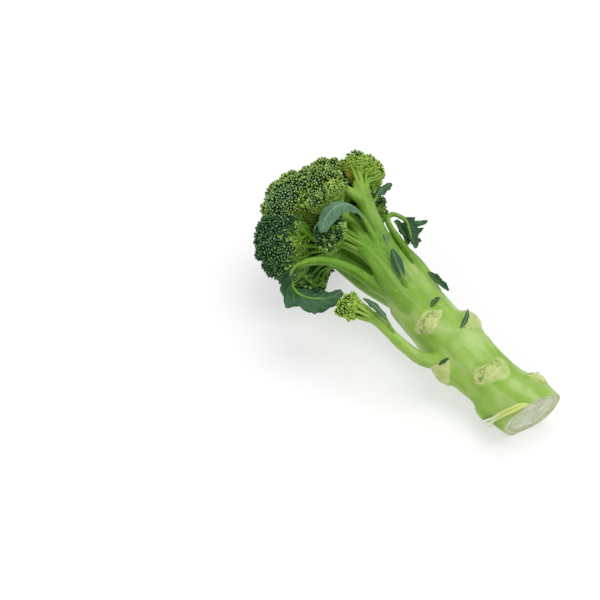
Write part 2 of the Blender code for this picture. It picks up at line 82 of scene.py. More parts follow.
# Scars where leaves were cut off: height, bearing round the stem, half width, half height, how far they stand
# out, and the outline as points across and up from the middle
SCARS = (
    (26.0, -79, 12, 9, 1.5, ((-6.3, 8.2), (-3.3, 8.3), (1.5, 5.2), (5.5, 5.1), (13.4, 5.7), (15.6, 1.3),
                             (9.3, -8.2), (3.7, -10.0), (-2.4, -5.8), (-10.2, 0.6), (-9.7, 4.9))),
    (76.5, -97, 11, 7.5, 1.8, ((-11.0, 1.2), (-9.7, 5.6), (-3.2, 5.2), (4.3, 5.0), (8.0, 1.6), (12.7, -0.4),
                               (9.6, -3.7), (5.6, -5.6), (2.1, -7.9), (-2.5, -7.5), (-6.0, -3.0))),
    (51.5, -157, 9, 8, 4.6, ((13.4, -0.6), (8.7, -5.6), (1.7, -8.5), (-4.0, -6.5), (-9.0, -2.0), (-6.5, 5.4),
                             (3.1, 6.0), (8.2, 3.2))),
    (61.0, -17, 8.5, 7.5, 5.0, ((-11.8, -1.4), (-8.0, 0.3), (-2.0, 5.0), (4.5, 5.2), (8.0, 0.0), (6.0, -7.5),
                                (2.4, -9.4), (-8.5, -6.0))),
    (6.5, -17, 7, 5.5, 2.6, ((-8.0, 1.5), (-6.0, 0.9), (0.0, 4.0), (4.0, 3.0), (4.5, -3.0), (-0.5, -5.6),
                             (-6.2, -3.6))),
    (16.5, -172, 6.5, 6, 3.6, ((3.7, 5.0), (4.4, 0.0), (2.4, -5.8), (-3.6, -5.0), (-5.0, 1.0), (-1.0, 5.2))),
    (36.0, 84, 10, 8, 2.0, ((-8.0, 3.0), (-3.0, 5.5), (4.0, 5.0), (8.5, 1.0), (5.0, -4.0), (-1.0, -6.5),
                            (-7.0, -2.5))),
    (84.0, 62, 9, 8, 2.2, ((-7.5, 1.0), (-2.0, 6.0), (5.0, 4.0), (7.5, -1.0), (2.0, -6.0), (-5.0, -4.5))),
    (70.0, 160, 8, 8, 2.0, ((-6.5, 2.0), (0.0, 6.0), (6.5, 1.5), (4.0, -5.5), (-4.0, -5.0))),
)
# the scars that show a ring of vessels, and a place that is off every scar
VEINED_SCARS = (0, 1, 6, 7, 8)
OFF_SCAR = (40.0, 40.0)

# Ridges that branches leave down the stem: height, bearing, radius, how far they stand out
RIDGES = (
    ((114, -36, 8.0, 2.4), (100, -38, 7.6, 2.0), (86, -40, 7.0, 1.5), (72, -38, 6.2, 0.9),
     (58, -34, 5.0, 0.0)),
    ((104, -93, 7.6, 2.6), (95, -96, 7.2, 1.9), (86, -99, 6.6, 1.1), (80, -101, 6.0, 0.2)),
    ((106, -136, 6.2, 2.2), (94, -140, 6.0, 1.7), (80, -144, 5.6, 1.0), (64, -148, 5.0, 0.0)),
    ((108, 4, 4.4, 1.8), (96, 2, 4.2, 1.3), (84, 0, 4.0, 0.9), (70, -2, 3.6, 0.0)),
    ((108, 60, 7.0, 2.0), (92, 62, 6.6, 1.4), (72, 62, 5.6, 0.2)),
    ((106, 120, 7.0, 2.0), (88, 122, 6.4, 1.2), (66, 124, 5.4, 0.0)),
    ((104, 172, 7.0, 2.0), (86, 170, 6.2, 1.0), (66, 168, 5.2, 0.0)),
)

# Bunches: the middle of the dome, its radius, the way it faces, and the points that its branch passes on the
# way up from the stem, each with the branch's radius there
BUNCHES = {
    "bunch_left": ((-25, -10, 182.5), 24.5, (-0.55, -0.20, 0.75), ((-3, 0, 112, 9), (-8, -5, 137, 6))),
    "bunch_upper_left": ((-4.7, -4.7, 196.1), 25.3, (-0.25, -0.15, 0.95),
                         ((0, 1, 112, 9), (-2, -1, 145, 8.2))),
    "bunch_upper_right": ((16.1, 5.6, 195.6), 22, (0.30, 0.10, 0.95), ((3, 2, 112, 9), (9, 4, 145, 7.8))),
    "bunch_right": ((35.5, 4, 186), 16.4, (0.36, 0.60, 0.72),
                    ((3, -5, 96, 9), (9, -8, 118, 7.2), (17.5, -8.8, 146, 6.1))),
    "bunch_front": ((-3, -27, 157), 12.5, (-0.35, -0.65, 0.65),
                    ((-4, -5, 84, 10), (-2.5, -12, 106, 8.2), (2, -18, 130, 6.2))),
    "bunch_front_right": ((11, -18, 185), 18, (0.15, -0.45, 0.85),
                          ((1, -8, 108, 7.5), (5.5, -15, 136, 4.6), (8.5, -16.5, 155, 4.2))),
    "bunch_back_right": ((21, 25, 175.5), 16, (0.45, 0.60, 0.65),
                         ((8, 3, 96, 8.5), (15.5, 5, 116, 6.8), (17, 9.5, 140, 6))),
    "bunch_back": ((2, 38.8, 177), 22.2, (0.05, 0.75, 0.65), ((2, 6, 108, 9), (3, 17, 136, 7.4))),
    "bunch_back_left": ((-29, 17.5, 178), 21, (-0.70, 0.30, 0.65), ((-5, 4, 108, 9), (-12, 8, 136, 7.4))),
    "bunch_under": ((-15, 28, 186), 20.5, (-0.35, 0.60, 0.75), ((-3, 6, 112, 8), (-7, 15, 142, 6.8))),
    "bunch_top_back": ((12, 27, 196), 20, (0.20, 0.50, 0.85), ((3, 5, 112, 8), (7, 14, 142, 7))),
    "bunch_side_shoot": ((-29.6, -33, 113), 9.3, (-0.45, -0.25, 0.80),
                         ((-17, -6, 56, 5.4), (-24, -17, 63, 4.6), (-25.5, -25, 76, 4.1),
                          (-25, -29, 90, 3.7))),
}
# How young each bunch is, how far down from its top its buds reach in degrees, how pale its buds' tips are,
# and how much younger it is at its rim. Youth and paleness are partly painted light: raised on bunches that
# face the light, lowered on those in shade, most of all the back-left and under bunches.
YOUTH_AND_LIGHT = {
    "bunch_left": (0.0, 134, 0.40, 0.55), "bunch_upper_left": (0.28, 140, 1.0, 0.42),
    "bunch_upper_right": (0.36, 140, 1.0, 0.45), "bunch_right": (0.40, 140, 1.0, 0.80),
    "bunch_front": (0.16, 138, 0.36, 0.60), "bunch_front_right": (0.44, 150, 0.66, -0.15),
    "bunch_side_shoot": (0.75, 120, 0.6, 0.90), "bunch_back_left": (-0.10, 134, 0.10, 0.0),
    "bunch_under": (-0.05, 134, 0.15, 0.1),
}
OLDER = (0.10, 134, 0.45, 0.60)
# where the right bunch's oldest buds have turned brown
OLD_SPOT = (33.9, -3.5, 187.3)
# how far below the dome's middle its branch ends and how thick the branch is there, as shares of the radius
NECK = (0.60, 0.36)
WIDE_NECKS = {
    "bunch_right": (0.44, 0.42), "bunch_front": (0.52, 0.46), "bunch_front_right": (0.55, 0.42),
    "bunch_side_shoot": (0.50, 0.56),
}
RIM_ANGLE = 102.0
LUMP_RELIEF = 2.0
# spacing of each kind of lump and its seed; LARGE also has its least number, its scatter and its reach
LARGE, MIDDLING, SMALL = (13.0, 40, 6, 0.10, 0.62), (8.6, 240), (4.4, 140)
ROUNDING = 3.0
BRANCH_CLEAR = 1.5

# A short side branch that ends inside the crown, and a torn flap of skin above the foot: points with radii
STUB = ((24.8, -9.0, 162.6, 4.2), (24.4, -11.0, 170.6, 3.4), (23.6, -11.5, 177.9, 3.0),
        (23.7, -9.5, 185.4, 2.4))
FLAP = ((8.4, -9.0, 5.4, 3.0), (11.8, -8.6, 6.2, 2.6), (14.8, -8.2, 7.3, 1.7), (16.2, -8.0, 8.1, 1.0))
# Leaf stalks that stay on the plant: under, right and tongue
LEAF_STALKS = (
    ((-6, -6, 106, 5.2), (-9.5, -13, 120, 4.2), (-12, -23, 134, 3.4), (-18, -30.5, 146, 3.0),
     (-25.5, -34, 153.5, 2.6), (-31.5, -35, 156.5, 2.1)),
    ((9, 0, 100, 3.8), (15.5, 0.5, 112, 3.2), (20, 0.5, 126, 2.6), (22.8, 0.5, 139, 2.3),
     (25.5, 1, 147.3, 2.1), (29, 2, 150.3, 2.0), (32.3, 3, 148.3, 1.8), (33.6, 4, 143.8, 1.6)),
    ((8, -12, 130, 2.8), (13, -17.5, 142, 2.3), (16.2, -22.4, 150.6, 1.9)),
)
# Thick midribs and the short stalks that hold small leaves
RIBS = {
    "leaf_right_midrib": ((33.2, 3.6, 145.2, 1.5), (33.9, 4.2, 142.0, 1.3), (32.9, 4.5, 138.2, 1.05),
                          (30.6, 4.4, 134.0, 0.75), (27.8, 3.9, 129.5, 0.45)),
    "leaf_under_midrib": ((-29.6, -34.9, 155.6, 2.0), (-32.8, -35.2, 157.1, 1.6), (-38.3, -35.7, 156.5, 1.3),
                          (-43.2, -36.3, 151.5, 1.1), (-44.8, -36.3, 144.0, 0.9), (-42.0, -34.8, 136.5, 0.65),
                          (-36.5, -32.0, 130.8, 0.4)),
    "leaf_tongue_foot": ((15.4, -21.2, 149.0, 1.7), (16.6, -23.4, 151.8, 1.3), (17.3, -27.0, 155.2, 0.8),
                         (16.9, -31.0, 158.6, 0.5)),
    "leaf_fork_foot": ((1.2, -16.2, 101.5, 1.5), (3.4, -18.9, 103.9, 1.2), (5.0, -20.5, 106.0, 0.95),
                       (7.0, -21.3, 110.0, 0.55)),
    "leaf_side_shoot_foot": ((-23.9, -29.4, 83.0, 1.0), (-22.3, -31.9, 86.2, 0.85), (-21.0, -33.5, 89.0, 0.7),
                             (-20.2, -34.8, 92.5, 0.45)),
    "leaf_right_upper_foot": ((28.5, -3.2, 163.0, 1.1), (31.5, 1.8, 165.2, 0.95), (33.7, 5.0, 167.2, 0.8),
                              (36.2, 5.6, 168.0, 0.5)),
}

# Leaf blades: the midrib's points, the way the blade spreads at its foot and at its tip, half width on either
# side, how far its edges rise, the number and depth of its lobes, the height of its waves, how much bloom it
# carries, and how slowly it widens from its foot where that isn't the usual way
BLADES = {
    "leaf_under": (
        ((-32.8, -35.2, 157.0), (-38.5, -35.6, 156.6), (-43.5, -36, 151.5), (-45, -36, 144),
         (-42, -34.5, 136), (-35, -31, 129.5), (-26, -27, 127)),
        ((0.0, -0.6, -0.8), (-0.75, -0.2, -0.65)), (11.0, 13.5), 0.25, (5, 0.30), 1.6, 0.08),
    "leaf_right": (
        ((33.8, 4.3, 142.9), (32.9, 4.9, 138.4), (30.2, 4.8, 133.5), (27.0, 4.0, 128.0), (24.6, 3.3, 122.5)),
        ((0.665, 0.332, -0.669), (0.665, 0.332, -0.669)), (3.2, 10.5), 0.15, (3, 0.55), 0.8, 0.2),
    "leaf_right_upper": (
        ((33.7, 5.0, 167.2), (37.4, 5.9, 168.0), (42.0, 7.3, 167.8), (46.5, 8.4, 166.8)),
        ((0.5, 0.0, -0.8), (0.5, 0.0, -0.8)), (4.2, 4.2), 0.2, (2, 0.18), 0.6, 0.2),
    "leaf_tongue": (
        ((16.6, -23.4, 151.8), (17.5, -30, 157.5), (13.5, -37.5, 161.5), (5, -42, 161.5), (-2, -43.5, 159),
         (-7, -43, 156)),
        ((0.2, 0.1, 1.0), (-0.3, 0.1, 1.0)), (6.0, 6.0), 0.3, (0, 0.0), 0.4, 0.95, 0.45),
    "leaf_fork": (
        ((5.0, -20.5, 106.0), (8.0, -21.5, 112.0), (10.8, -21.5, 118.0), (13.5, -20.5, 124.0)),
        ((0.9, 0.1, -0.4), (0.9, 0.1, -0.4)), (3.2, 3.2), 0.3, (0, 0.0), 0.2, 0.15),
    "leaf_stem_right": (
        ((18.3, -0.8, 103.5), (17.6, -1.3, 97.5), (17.3, -2.0, 91.0), (17.6, -2.6, 85.0)),
        ((1.0, 0.3, 0.0), (1.0, 0.2, 0.0)), (1.2, 4.2), 0.3, (2, 0.3), 0.5, 0.2),
    "leaf_side_shoot": (
        ((-21.0, -33.5, 89.0), (-19.5, -36.0, 96.5), (-19.5, -37.5, 103.0), (-20.5, -37.5, 109.0)),
        ((0.8, 0.2, 0.2), (0.8, 0.2, 0.3)), (2.6, 2.6), 0.25, (3, 0.3), 0.5, 0.2),
}
# Small leaves that no solid stands for
SMALL_LEAVES = {
    "leaflet_on_scar": (
        ((3.2, -15.9, 81.5), (6.8, -14.9, 82.7), (10.8, -13.9, 81.9)),
        ((0.1, 0.0, 1.0), (0.1, 0.0, 1.0)), (1.8, 1.8), 0.3, (2, 0.3), 0.3, 0.2),
    "leaflet_on_edge": (
        ((5.2, -15.1, 59.1), (8.9, -14.6, 59.6), (12.8, -13.7, 61.2), (16.3, -11.4, 64.4)),
        ((0.6, 0.1, -0.7), (0.6, 0.2, -0.7)), (1.7, 1.2), 0.35, (0, 0.0), 0.2, 0.1),
    "leaflet_on_knob": (
        ((-20.0, -14.8, 54.0), (-17.8, -15.4, 53.1), (-15.4, -15.9, 52.2), (-13.5, -16.2, 51.5)),
        ((0.3, 0.0, 0.95), (0.3, 0.0, 0.95)), (1.1, 1.0), 0.3, (0, 0.0), 0.2, 0.1),
    "leaflet_on_branch": (
        ((14.6, -14.5, 131.6), (16.6, -14.7, 134.3), (17.8, -14.8, 137.3)),
        ((0.8, 0.1, -0.4), (0.8, 0.1, -0.4)), (1.5, 1.5), 0.4, (0, 0.0), 0.1, 0.5),
    "leaf_right_spike": (
        ((32.4, 5.4, 139.0), (36.0, 7.2, 136.2), (39.5, 8.4, 133.4), (43.0, 9.2, 131.4)),
        ((0.45, 0.1, 0.85), (0.5, 0.1, 0.8)), (3.6, 1.6), 0.2, (1, 0.2), 0.4, 0.2),
    "leaf_right_inner": (
        ((29.5, 3.4, 145.6), (28.0, 4.2, 141.5), (27.0, 5.0, 137.0), (24.6, 5.4, 132.0), (23.2, 5.4, 128.8)),
        ((0.8, 0.25, 0.35), (0.8, 0.25, 0.35)), (2.2, 6.0), 0.5, (2, 0.3), 1.3, 0.10),
}
BLADE_THICK = 0.5
BLADE_LONG = 72
BLADE_ACROSS = 28

# A bud's rings: height, width, and how far every other corner dips in, so that three sepals part at its tip
BUD_RINGS = ((-0.95, 0.60, 0.0), (-0.20, 0.97, 0.03), (0.42, 0.84, 0.12), (0.80, 0.46, 0.30))
BUD_SIDES = 6

# The camera: its bearing and height in degrees, how far it stands from the place it looks at, in millimetres,
# and its field of view. The lights: the way to each, its strength, and how wide it is in degrees.
CAMERA_ANGLES, CAMERA_AWAY, CAMERA_TARGET, CAMERA_WIDE = (47.25, 43.07), 868.84, (-38.20, -43.61, 40.0), 24.0
LIGHTS = ("key", (0.11, 0.18, 0.94), 1.70, 44), ("fill", (0.60, -0.75, 0.60), 0.40, 60)


# Numbers

def unit(vector):
    vector = np.asarray(vector, float)
    return vector / np.maximum(np.linalg.norm(vector, axis=-1, keepdims=True), 1e-12)


def smooth_min(a, b, width):
    return np.minimum(a, b) - np.maximum(width - np.abs(a - b), 0) ** 2 / (4 * width)


def fade(value, low, high):
    """0 below low, 1 above high, smooth between."""
    t = np.clip((value - low) / (high - low), 0, 1)
    return t * t * (3 - 2 * t)


def curve_through(points, count):
    points = np.asarray(points, float)
    ends = np.vstack([2 * points[0] - points[1], points, 2 * points[-1] - points[-2]])
    at = np.linspace(0, len(points) - 1, count)
    i = np.minimum(at.astype(int), len(points) - 2)
    t = (at - i)[:, None]
    a, b, c, d = (ends[i + k] for k in range(4))
    return 0.5 * (2 * b + (c - a) * t + (2 * a - 5 * b + 4 * c - d) * t**2 + (3 * b - a - 3 * c + d) * t**3)


def stem_at(heights, count):
    """The stem's offsets to the right and to the back and its radius at each height."""
    rows = curve_through(STEM, count)
    return [np.interp(heights, rows[:, 0], rows[:, k]) for k in (1, 2, 3)]


def fibonacci_directions(count):
    i = np.arange(count) + 0.5
    height = 1 - 2 * i / count
    turn = i * math.pi * (3 - math.sqrt(5))
    flat = np.sqrt(1 - height**2)
    return np.stack([flat * np.cos(turn), flat * np.sin(turn), height], axis=1)


def frame_along(axis):
    axis = unit(axis)
    helper = np.array([1.0, 0, 0]) if abs(axis[0]) < 0.8 else np.array([0, 1.0, 0])
    first = unit(np.cross(axis, helper))
    return first, np.cross(axis, first)


def carried_frames(path, end_axis=None):
    """The way a path goes at each of its points, and two directions across it that don't twist round it."""
    tangents = unit(np.gradient(path, axis=0))
    if end_axis is not None:
        tangents[-1] = end_axis
    first, _ = frame_along(tangents[0])
    firsts = []
    for tangent in tangents:
        first = unit(first - tangent * (first @ tangent))
        firsts.append(first)
    return tangents, np.array(firsts), np.cross(tangents, firsts)


def noise_at(points, seed=0):
    """Smooth noise from -1 to 1 at each row of points; its grain is one unit."""
    cell = np.floor(points).astype(np.int64)
    share = points - cell
    share = share * share * (3 - 2 * share)
    total = np.zeros(len(points))
    for corner in itertools.product((0, 1), repeat=3):
        at = cell + corner
        number = at[:, 0] * 73856093 ^ at[:, 1] * 19349663 ^ at[:, 2] * 83492791
        number = number ^ (seed * 6364136223 + 1442695)
        number = (number ^ (number >> 15)) * 2246822519 & 0xFFFFFFFF
        number = (number ^ (number >> 13)) * 3266489917 & 0xFFFFFFFF
        weight = np.prod(np.where(corner, share, 1 - share), axis=1)
        total += weight * ((number >> 8 & 0xFFFF) / 32767.5 - 1)
    return total


# Meshes

def make_piece(name, vertices, faces, looks, slot, replaced, fields, look_of_face=None):
    """A piece of the object from points in the plant's frame, in millimetres, and faces of one side count."""
    placed = np.asarray(vertices, float) @ LYING.T - np.array(SHIFT)
    placed = np.clip(placed, HELD[0], HELD[1])
    faces = np.asarray(faces, np.int32)
    mesh = bpy.data.meshes.new(name)
    mesh.vertices.add(len(placed))
    mesh.vertices.foreach_set("co", (placed * MM).astype(np.float32).ravel())
    mesh.loops.add(faces.size)
    mesh.loops.foreach_set("vertex_index", faces.ravel())
    mesh.polygons.add(len(faces))
    mesh.polygons.foreach_set("loop_start", np.arange(0, faces.size, faces.shape[1], dtype=np.int32))
    mesh.polygons.foreach_set("use_smooth", np.ones(len(faces), bool))
    if look_of_face is not None:
        mesh.polygons.foreach_set("material_index", np.asarray(look_of_face, np.int32))
    mesh.update(calc_edges=True)
    mesh.validate()
    for look in looks:
        mesh.materials.append(look)
    add_fields(mesh, fields)
    piece = bpy.data.objects.new(name, mesh)
    bpy.context.scene.collection.objects.link(piece)
    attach(piece, "root")
    if replaced:
        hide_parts(replaced)


def add_fields(mesh, fields):
    for name, values in fields.items():
        mesh.attributes.new(name, "FLOAT", "POINT").data.foreach_set("value", np.asarray(values, np.float32))


def grid_faces(rows, columns, closed):
    """Quads of a grid whose rows follow each other; closed joins its last column to its first."""
    i, k = np.meshgrid(np.arange(rows - 1), np.arange(columns if closed else columns - 1), indexing="ij")
    a, b = i * columns + k, i * columns + (k + 1) % columns
    return np.stack([a, b, b + columns, a + columns], axis=-1).reshape(-1, 4)


def halved(quads):
    return np.vstack([quads[:, [0, 1, 2]], quads[:, [0, 2, 3]]])


def fan(first, sides, tip):
    """Triangles from a ring that starts at the point numbered first to the point numbered tip."""
    k = np.arange(sides)
    return np.stack([first + k, first + (k + 1) % sides, np.full(sides, tip)], axis=1)


def with_caps(vertices, rows, sides):
    """Closes the two ends of a round grid with one point each."""
    start, end = vertices[:sides].mean(axis=0), vertices[-sides:].mean(axis=0)
    count = len(vertices)
    ends = fan(0, sides, count)[:, [1, 0, 2]], fan(count - sides, sides, count + 1)
    return np.vstack([vertices, start, end]), np.vstack([halved(grid_faces(rows, sides, True)), *ends])


def rod(rings, sides, end_axis=None):
    """A closed round rod along rings of place and radius: its points and triangles."""
    _, one, two = carried_frames(rings[:, :3], end_axis)
    turn = np.linspace(0, 2 * math.pi, sides, endpoint=False)[None, :, None]
    ring = np.cos(turn) * one[:, None] + np.sin(turn) * two[:, None]
    return with_caps((rings[:, None, :3] + rings[:, None, 3:] * ring).reshape(-1, 3), len(rings), sides)


def joined(parts):
    """One list of vertices and faces from several."""
    starts = np.cumsum([0] + [len(vertices) for vertices, _ in parts])
    faces = [its + start for (_, its), start in zip(parts, starts)]
    return np.vstack([vertices for vertices, _ in parts]), np.vstack(faces)


def voxel_union(vertices, faces, size):
    """The outer skin of overlapping closed shapes, as quads about size across."""
    mesh = bpy.data.meshes.new("union")
    mesh.from_pydata(vertices.tolist(), [], faces.tolist())
    holder = bpy.data.objects.new("union", mesh)
    bpy.context.scene.collection.objects.link(holder)
    skin = holder.modifiers.new("skin", "REMESH")
    skin.mode = "VOXEL"
    skin.voxel_size = size
    skin.adaptivity = 0
    graph = bpy.context.evaluated_depsgraph_get()
    made = bpy.data.meshes.new_from_object(holder.evaluated_get(graph))
    bpy.data.objects.remove(holder)
    bpy.data.meshes.remove(mesh)
    return made


def mesh_arrays(mesh):
    """A mesh's points, triangles and edges."""
    mesh.calc_loop_triangles()
    arrays = []
    for items, key, wide, kind in (
        (mesh.vertices, "co", 3, float), (mesh.loop_triangles, "vertices", 3, np.int32),
        (mesh.edges, "vertices", 2, np.int32),
    ):
        values = np.empty(len(items) * wide, kind)
        items.foreach_get(key, values)
        arrays.append(values.reshape(-1, wide))
    return arrays


def neighbour_mean(values, edges):
    total = np.zeros_like(values)
    np.add.at(total, edges[:, 0], values[edges[:, 1]])
    np.add.at(total, edges[:, 1], values[edges[:, 0]])
    degree = np.maximum(np.bincount(edges.ravel(), minlength=len(values)), 1)
    return total / (degree[:, None] if values.ndim > 1 else degree)


def smoothed(values, edges, rounds):
    for _ in range(rounds):
        values = values + 0.5 * (neighbour_mean(values, edges) - values)
    return values


def vertex_normals(vertices, triangles):
    a, b, c = (vertices[triangles[:, k]] for k in range(3))
    facing = np.cross(b - a, c - a)
    total = np.zeros_like(vertices)
    for k in range(3):
        np.add.at(total, triangles[:, k], facing)
    return unit(total)


# Materials

class Value:
    """What a node of a material gives, and the sums that more nodes do with it."""

    def __init__(self, look, socket):
        self.look, self.socket = look, socket

    def math(self, operation, other):
        made = self.look.node("ShaderNodeMath", operation=operation)
        self.look.link(self, made.inputs[0])
        self.look.link(other, made.inputs[1])
        return Value(self.look, made.outputs[0])

    def __add__(self, other):
        return self.math("ADD", other)

    def __sub__(self, other):
        return self.math("SUBTRACT", other)

    def __mul__(self, other):
        return self.math("MULTIPLY", other)

    def __pow__(self, other):
        return self.math("POWER", other)

    def __abs__(self):
        return self.math("ABSOLUTE", 0.0)

    def between(self, low, high, to_low=0.0, to_high=1.0):
        made = self.look.node("ShaderNodeMapRange", clamp=True, interpolation_type="SMOOTHSTEP")
        self.look.link(self, made.inputs["Value"])
        for name, number in (("From Min", low), ("From Max", high), ("To Min", to_low), ("To Max", to_high)):
            made.inputs[name].default_value = number
        return Value(self.look, made.outputs["Result"])


class Look:
    """A material and short ways to add its nodes."""

    def __init__(self, name, **settings):
        self.material = bpy.data.materials.new(name)
        self.material.use_nodes = True
        self.tree = self.material.node_tree
        self.shader = self.tree.nodes["Principled BSDF"]
        for key, value in settings.items():
            self.shader.inputs[key.replace("_", " ")].default_value = value
        self.place = Value(self, self.node("ShaderNodeTexCoord").outputs["Object"])

    def node(self, kind, **values):
        made = self.tree.nodes.new(kind)
        for key, value in values.items():
            setattr(made, key, value)
        return made

    def link(self, source, target):
        if isinstance(source, Value):
            self.tree.links.new(source.socket, target)
        else:
            target.default_value = (*source, 1.0) if isinstance(source, tuple) else source

    def field(self, name):
        return Value(self, self.node("ShaderNodeAttribute", attribute_name=name).outputs["Fac"])

    def noise(self, scale, detail, stretch=None):
        made = self.node("ShaderNodeTexNoise")
        for key, number in (("Scale", scale), ("Detail", detail), ("Roughness", 0.55)):
            made.inputs[key].default_value = number
        place = self.place
        if stretch:
            mapping = self.node("ShaderNodeMapping")
            mapping.inputs["Scale"].default_value = stretch
            self.link(self.place, mapping.inputs["Vector"])
            place = Value(self, mapping.outputs["Vector"])
        self.link(place, made.inputs["Vector"])
        return Value(self, made.outputs["Fac"])

    def mix(self, factor, first, second):
        made = self.node("ShaderNodeMix", data_type="RGBA", blend_type="MIX")
        for source, number in ((factor, 0), (first, 6), (second, 7)):
            self.link(source, made.inputs[number])
        return Value(self, made.outputs[2])

    def layers(self, base, *layers):
        """Lays colours over base: where a value goes from low to high, up to a share of the colour."""
        for value, low, high, share, colour in layers:
            base = self.mix(value.between(low, high, 0.0, share), base, colour)
        return base

    def finish(self, colour, height=None, strength=0.0, distance=0.0):
        self.link(colour, self.shader.inputs["Base Color"])
        if height:
            made = self.node("ShaderNodeBump")
            made.inputs["Strength"].default_value = strength
            made.inputs["Distance"].default_value = distance
            self.link(height, made.inputs["Height"])
            self.tree.links.new(made.outputs["Normal"], self.shader.inputs["Normal"])
        return self.material


def stalk_look():
    """Skin of stem and branches: pale below, greener above, with streaks, fine lines and scars, and painted
    shade in its creases.
    """
    look = Look("stalk_skin", Roughness=0.42, Subsurface_Weight=0.10, Subsurface_Radius=(0.6, 1.0, 0.2),
                Subsurface_Scale=0.0015, Specular_IOR_Level=0.22)
    blotch, streak, lines = look.noise(110, 4), look.field("streak"), look.field("lines")
    tone = look.field("green") + (look.noise(38, 2) - 0.5) * 0.8
    waxy = look.layers(
        (0.285, 0.455, 0.078),
        (look.noise(62, 4), 0.48, 0.70, 0.60, (0.385, 0.530, 0.200)),
        (streak, 0.46, 0.18, 0.70, (0.430, 0.560, 0.220)),
    )
    fresh = look.layers((0.082, 0.222, 0.006), (streak, 0.48, 0.20, 0.72, (0.250, 0.420, 0.044)))
    skin = look.layers(
        waxy,
        (tone, 0.0, 1.0, 1.0, fresh),
        (blotch, 0.42, 0.72, 0.50, (0.160, 0.325, 0.026)),
        (lines, 0.35, 0.95, 0.24, (0.330, 0.500, 0.090)),
        (streak, 0.55, 0.85, 0.48, (0.165, 0.345, 0.022)),
        (look.noise(420, 2), 0.62, 0.72, 0.26, (0.44, 0.58, 0.22)),
        # painted shade: the crease field darkens the hollows between stem and branches
        (look.field("crease_shade"), 0.08, 0.8, 0.85, (0.032, 0.100, 0.006)),
        (look.field("young"), 0.0, 1.0, 1.0, (0.270, 0.430, 0.062)),
    )
    # scars: pale flesh inside the outline, a broken ring of vessels, and a bitten edge
    across, up = look.field("scar_across"), look.field("scar_up")
    depth = look.field("scar") + (look.noise(520, 3) - 0.5) * 1.6
    flesh = look.layers((0.50, 0.56, 0.225), (look.noise(230, 3), 0.35, 0.7, 1.0, (0.36, 0.48, 0.140)))
    wobble = look.noise(380, 2) - 0.5
    spread = (across * across + up * up) ** 0.5 + wobble * 0.62
    ring = spread.between(0.30, 0.40) * spread.between(0.86, 0.74)
    threads = abs(wobble).between(0.075, 0.035) * up.between(-0.45, -0.1)
    flesh = look.mix(ring * threads * 0.80, flesh, (0.15, 0.23, 0.032))
    bitten = depth.between(-0.35, 0.05) * depth.between(1.1, 0.35)
    bitten = bitten * look.noise(700, 2).between(0.42, 0.60) * look.noise(130, 3).between(0.46, 0.58)
    flesh = look.mix(bitten, flesh, (0.20, 0.17, 0.055))
    look.link(blotch.between(0.3, 0.8, 0.36, 0.50), look.shader.inputs["Roughness"])
    height = look.noise(600, 4) * 0.7 + lines * 0.8
    return look.finish(look.mix(depth.between(-0.15, 0.30), skin, flesh), height, 0.45, 0.0005)


def cut_look():
    """The cut foot: pale flesh with fibres, a ring of vessels, and green under its skin."""
    look = Look("cut_flesh", Roughness=0.55, Subsurface_Weight=0.12, Subsurface_Scale=0.002)
    speck, cloud, fibre = look.noise(750, 4), look.noise(120, 3), look.noise(620, 3, (1.0, 0.10, 1.0))
    inward = look.field("core") + (look.noise(260, 2) - 0.5) * 0.16
    flesh = look.layers(
        (0.60, 0.63, 0.47),
        (cloud, 0.3, 0.7, 1.0, (0.46, 0.53, 0.33)),
        (speck, 0.50, 0.72, 0.50, (0.28, 0.31, 0.14)),
        (fibre, 0.54, 0.70, 0.75, (0.31, 0.38, 0.11)),
        (fibre, 0.45, 0.30, 0.75, (0.80, 0.82, 0.70)),
    )
    ring = inward.between(0.13, 0.17) * inward.between(0.27, 0.21)
    flesh = look.layers(
        look.mix(ring * 0.60, flesh, (0.36, 0.40, 0.13)),
        (inward, 0.080, 0.055, 0.65, (0.33, 0.31, 0.10)),
        (inward, 0.045, 0.020, 0.90, (0.46, 0.56, 0.22)),
    )
    return look.finish(flesh, speck + cloud, 0.6, 0.0006)


def bud_look():
    """Flower buds: deep green with a grey bloom at the tip, yellow-green when young, with painted shade making
    their bases and the gaps between them near-black.
    """
    look = Look("buds", Roughness=0.48, Specular_IOR_Level=0.11)
    tip, tone, young = look.field("tip"), look.field("tone"), look.field("young")
    # grey bloom, made paler where tone is high; tone is partly painted light, so this is partly painted
    # highlight
    bloom_and_highlight = look.layers(
        (0.082, 0.205, 0.085),
        (look.noise(75, 3), 0.38, 0.66, 1.0, (0.098, 0.228, 0.150)),
        (tone, 0.30, 1.0, 1.0, (0.390, 0.590, 0.330)),
    )
    fresh = look.layers(
        (0.130, 0.290, 0.012),
        (tone, 0.0, 1.0, 1.0, (0.370, 0.560, 0.050)),
        # painted highlight: pale tips on young buds
        (tip, 0.60, 1.0, 0.55, (0.580, 0.730, 0.260)),
    )
    shade = look.layers(
        (0.008, 0.052, 0.007),
        (tone, 0.0, 1.0, 1.0, (0.048, 0.145, 0.020)),
        # tips: grey bloom with painted highlight
        (tip, 0.55, 0.95, 0.92, bloom_and_highlight),
        (young, 0.05, 0.95, 1.0, fresh),
        # painted shade: the lower part of each bud goes near-black, as in the gaps between buds
        (tip, 0.60, 0.20, 0.92, look.mix(young, (0.004, 0.024, 0.002), (0.085, 0.190, 0.010))),
    )
    shade = look.mix(look.field("old") * tip.between(0.0, 0.5), shade, (0.46, 0.25, 0.045))
    return look.finish(shade, look.noise(2600, 2), 0.25, 0.0002)


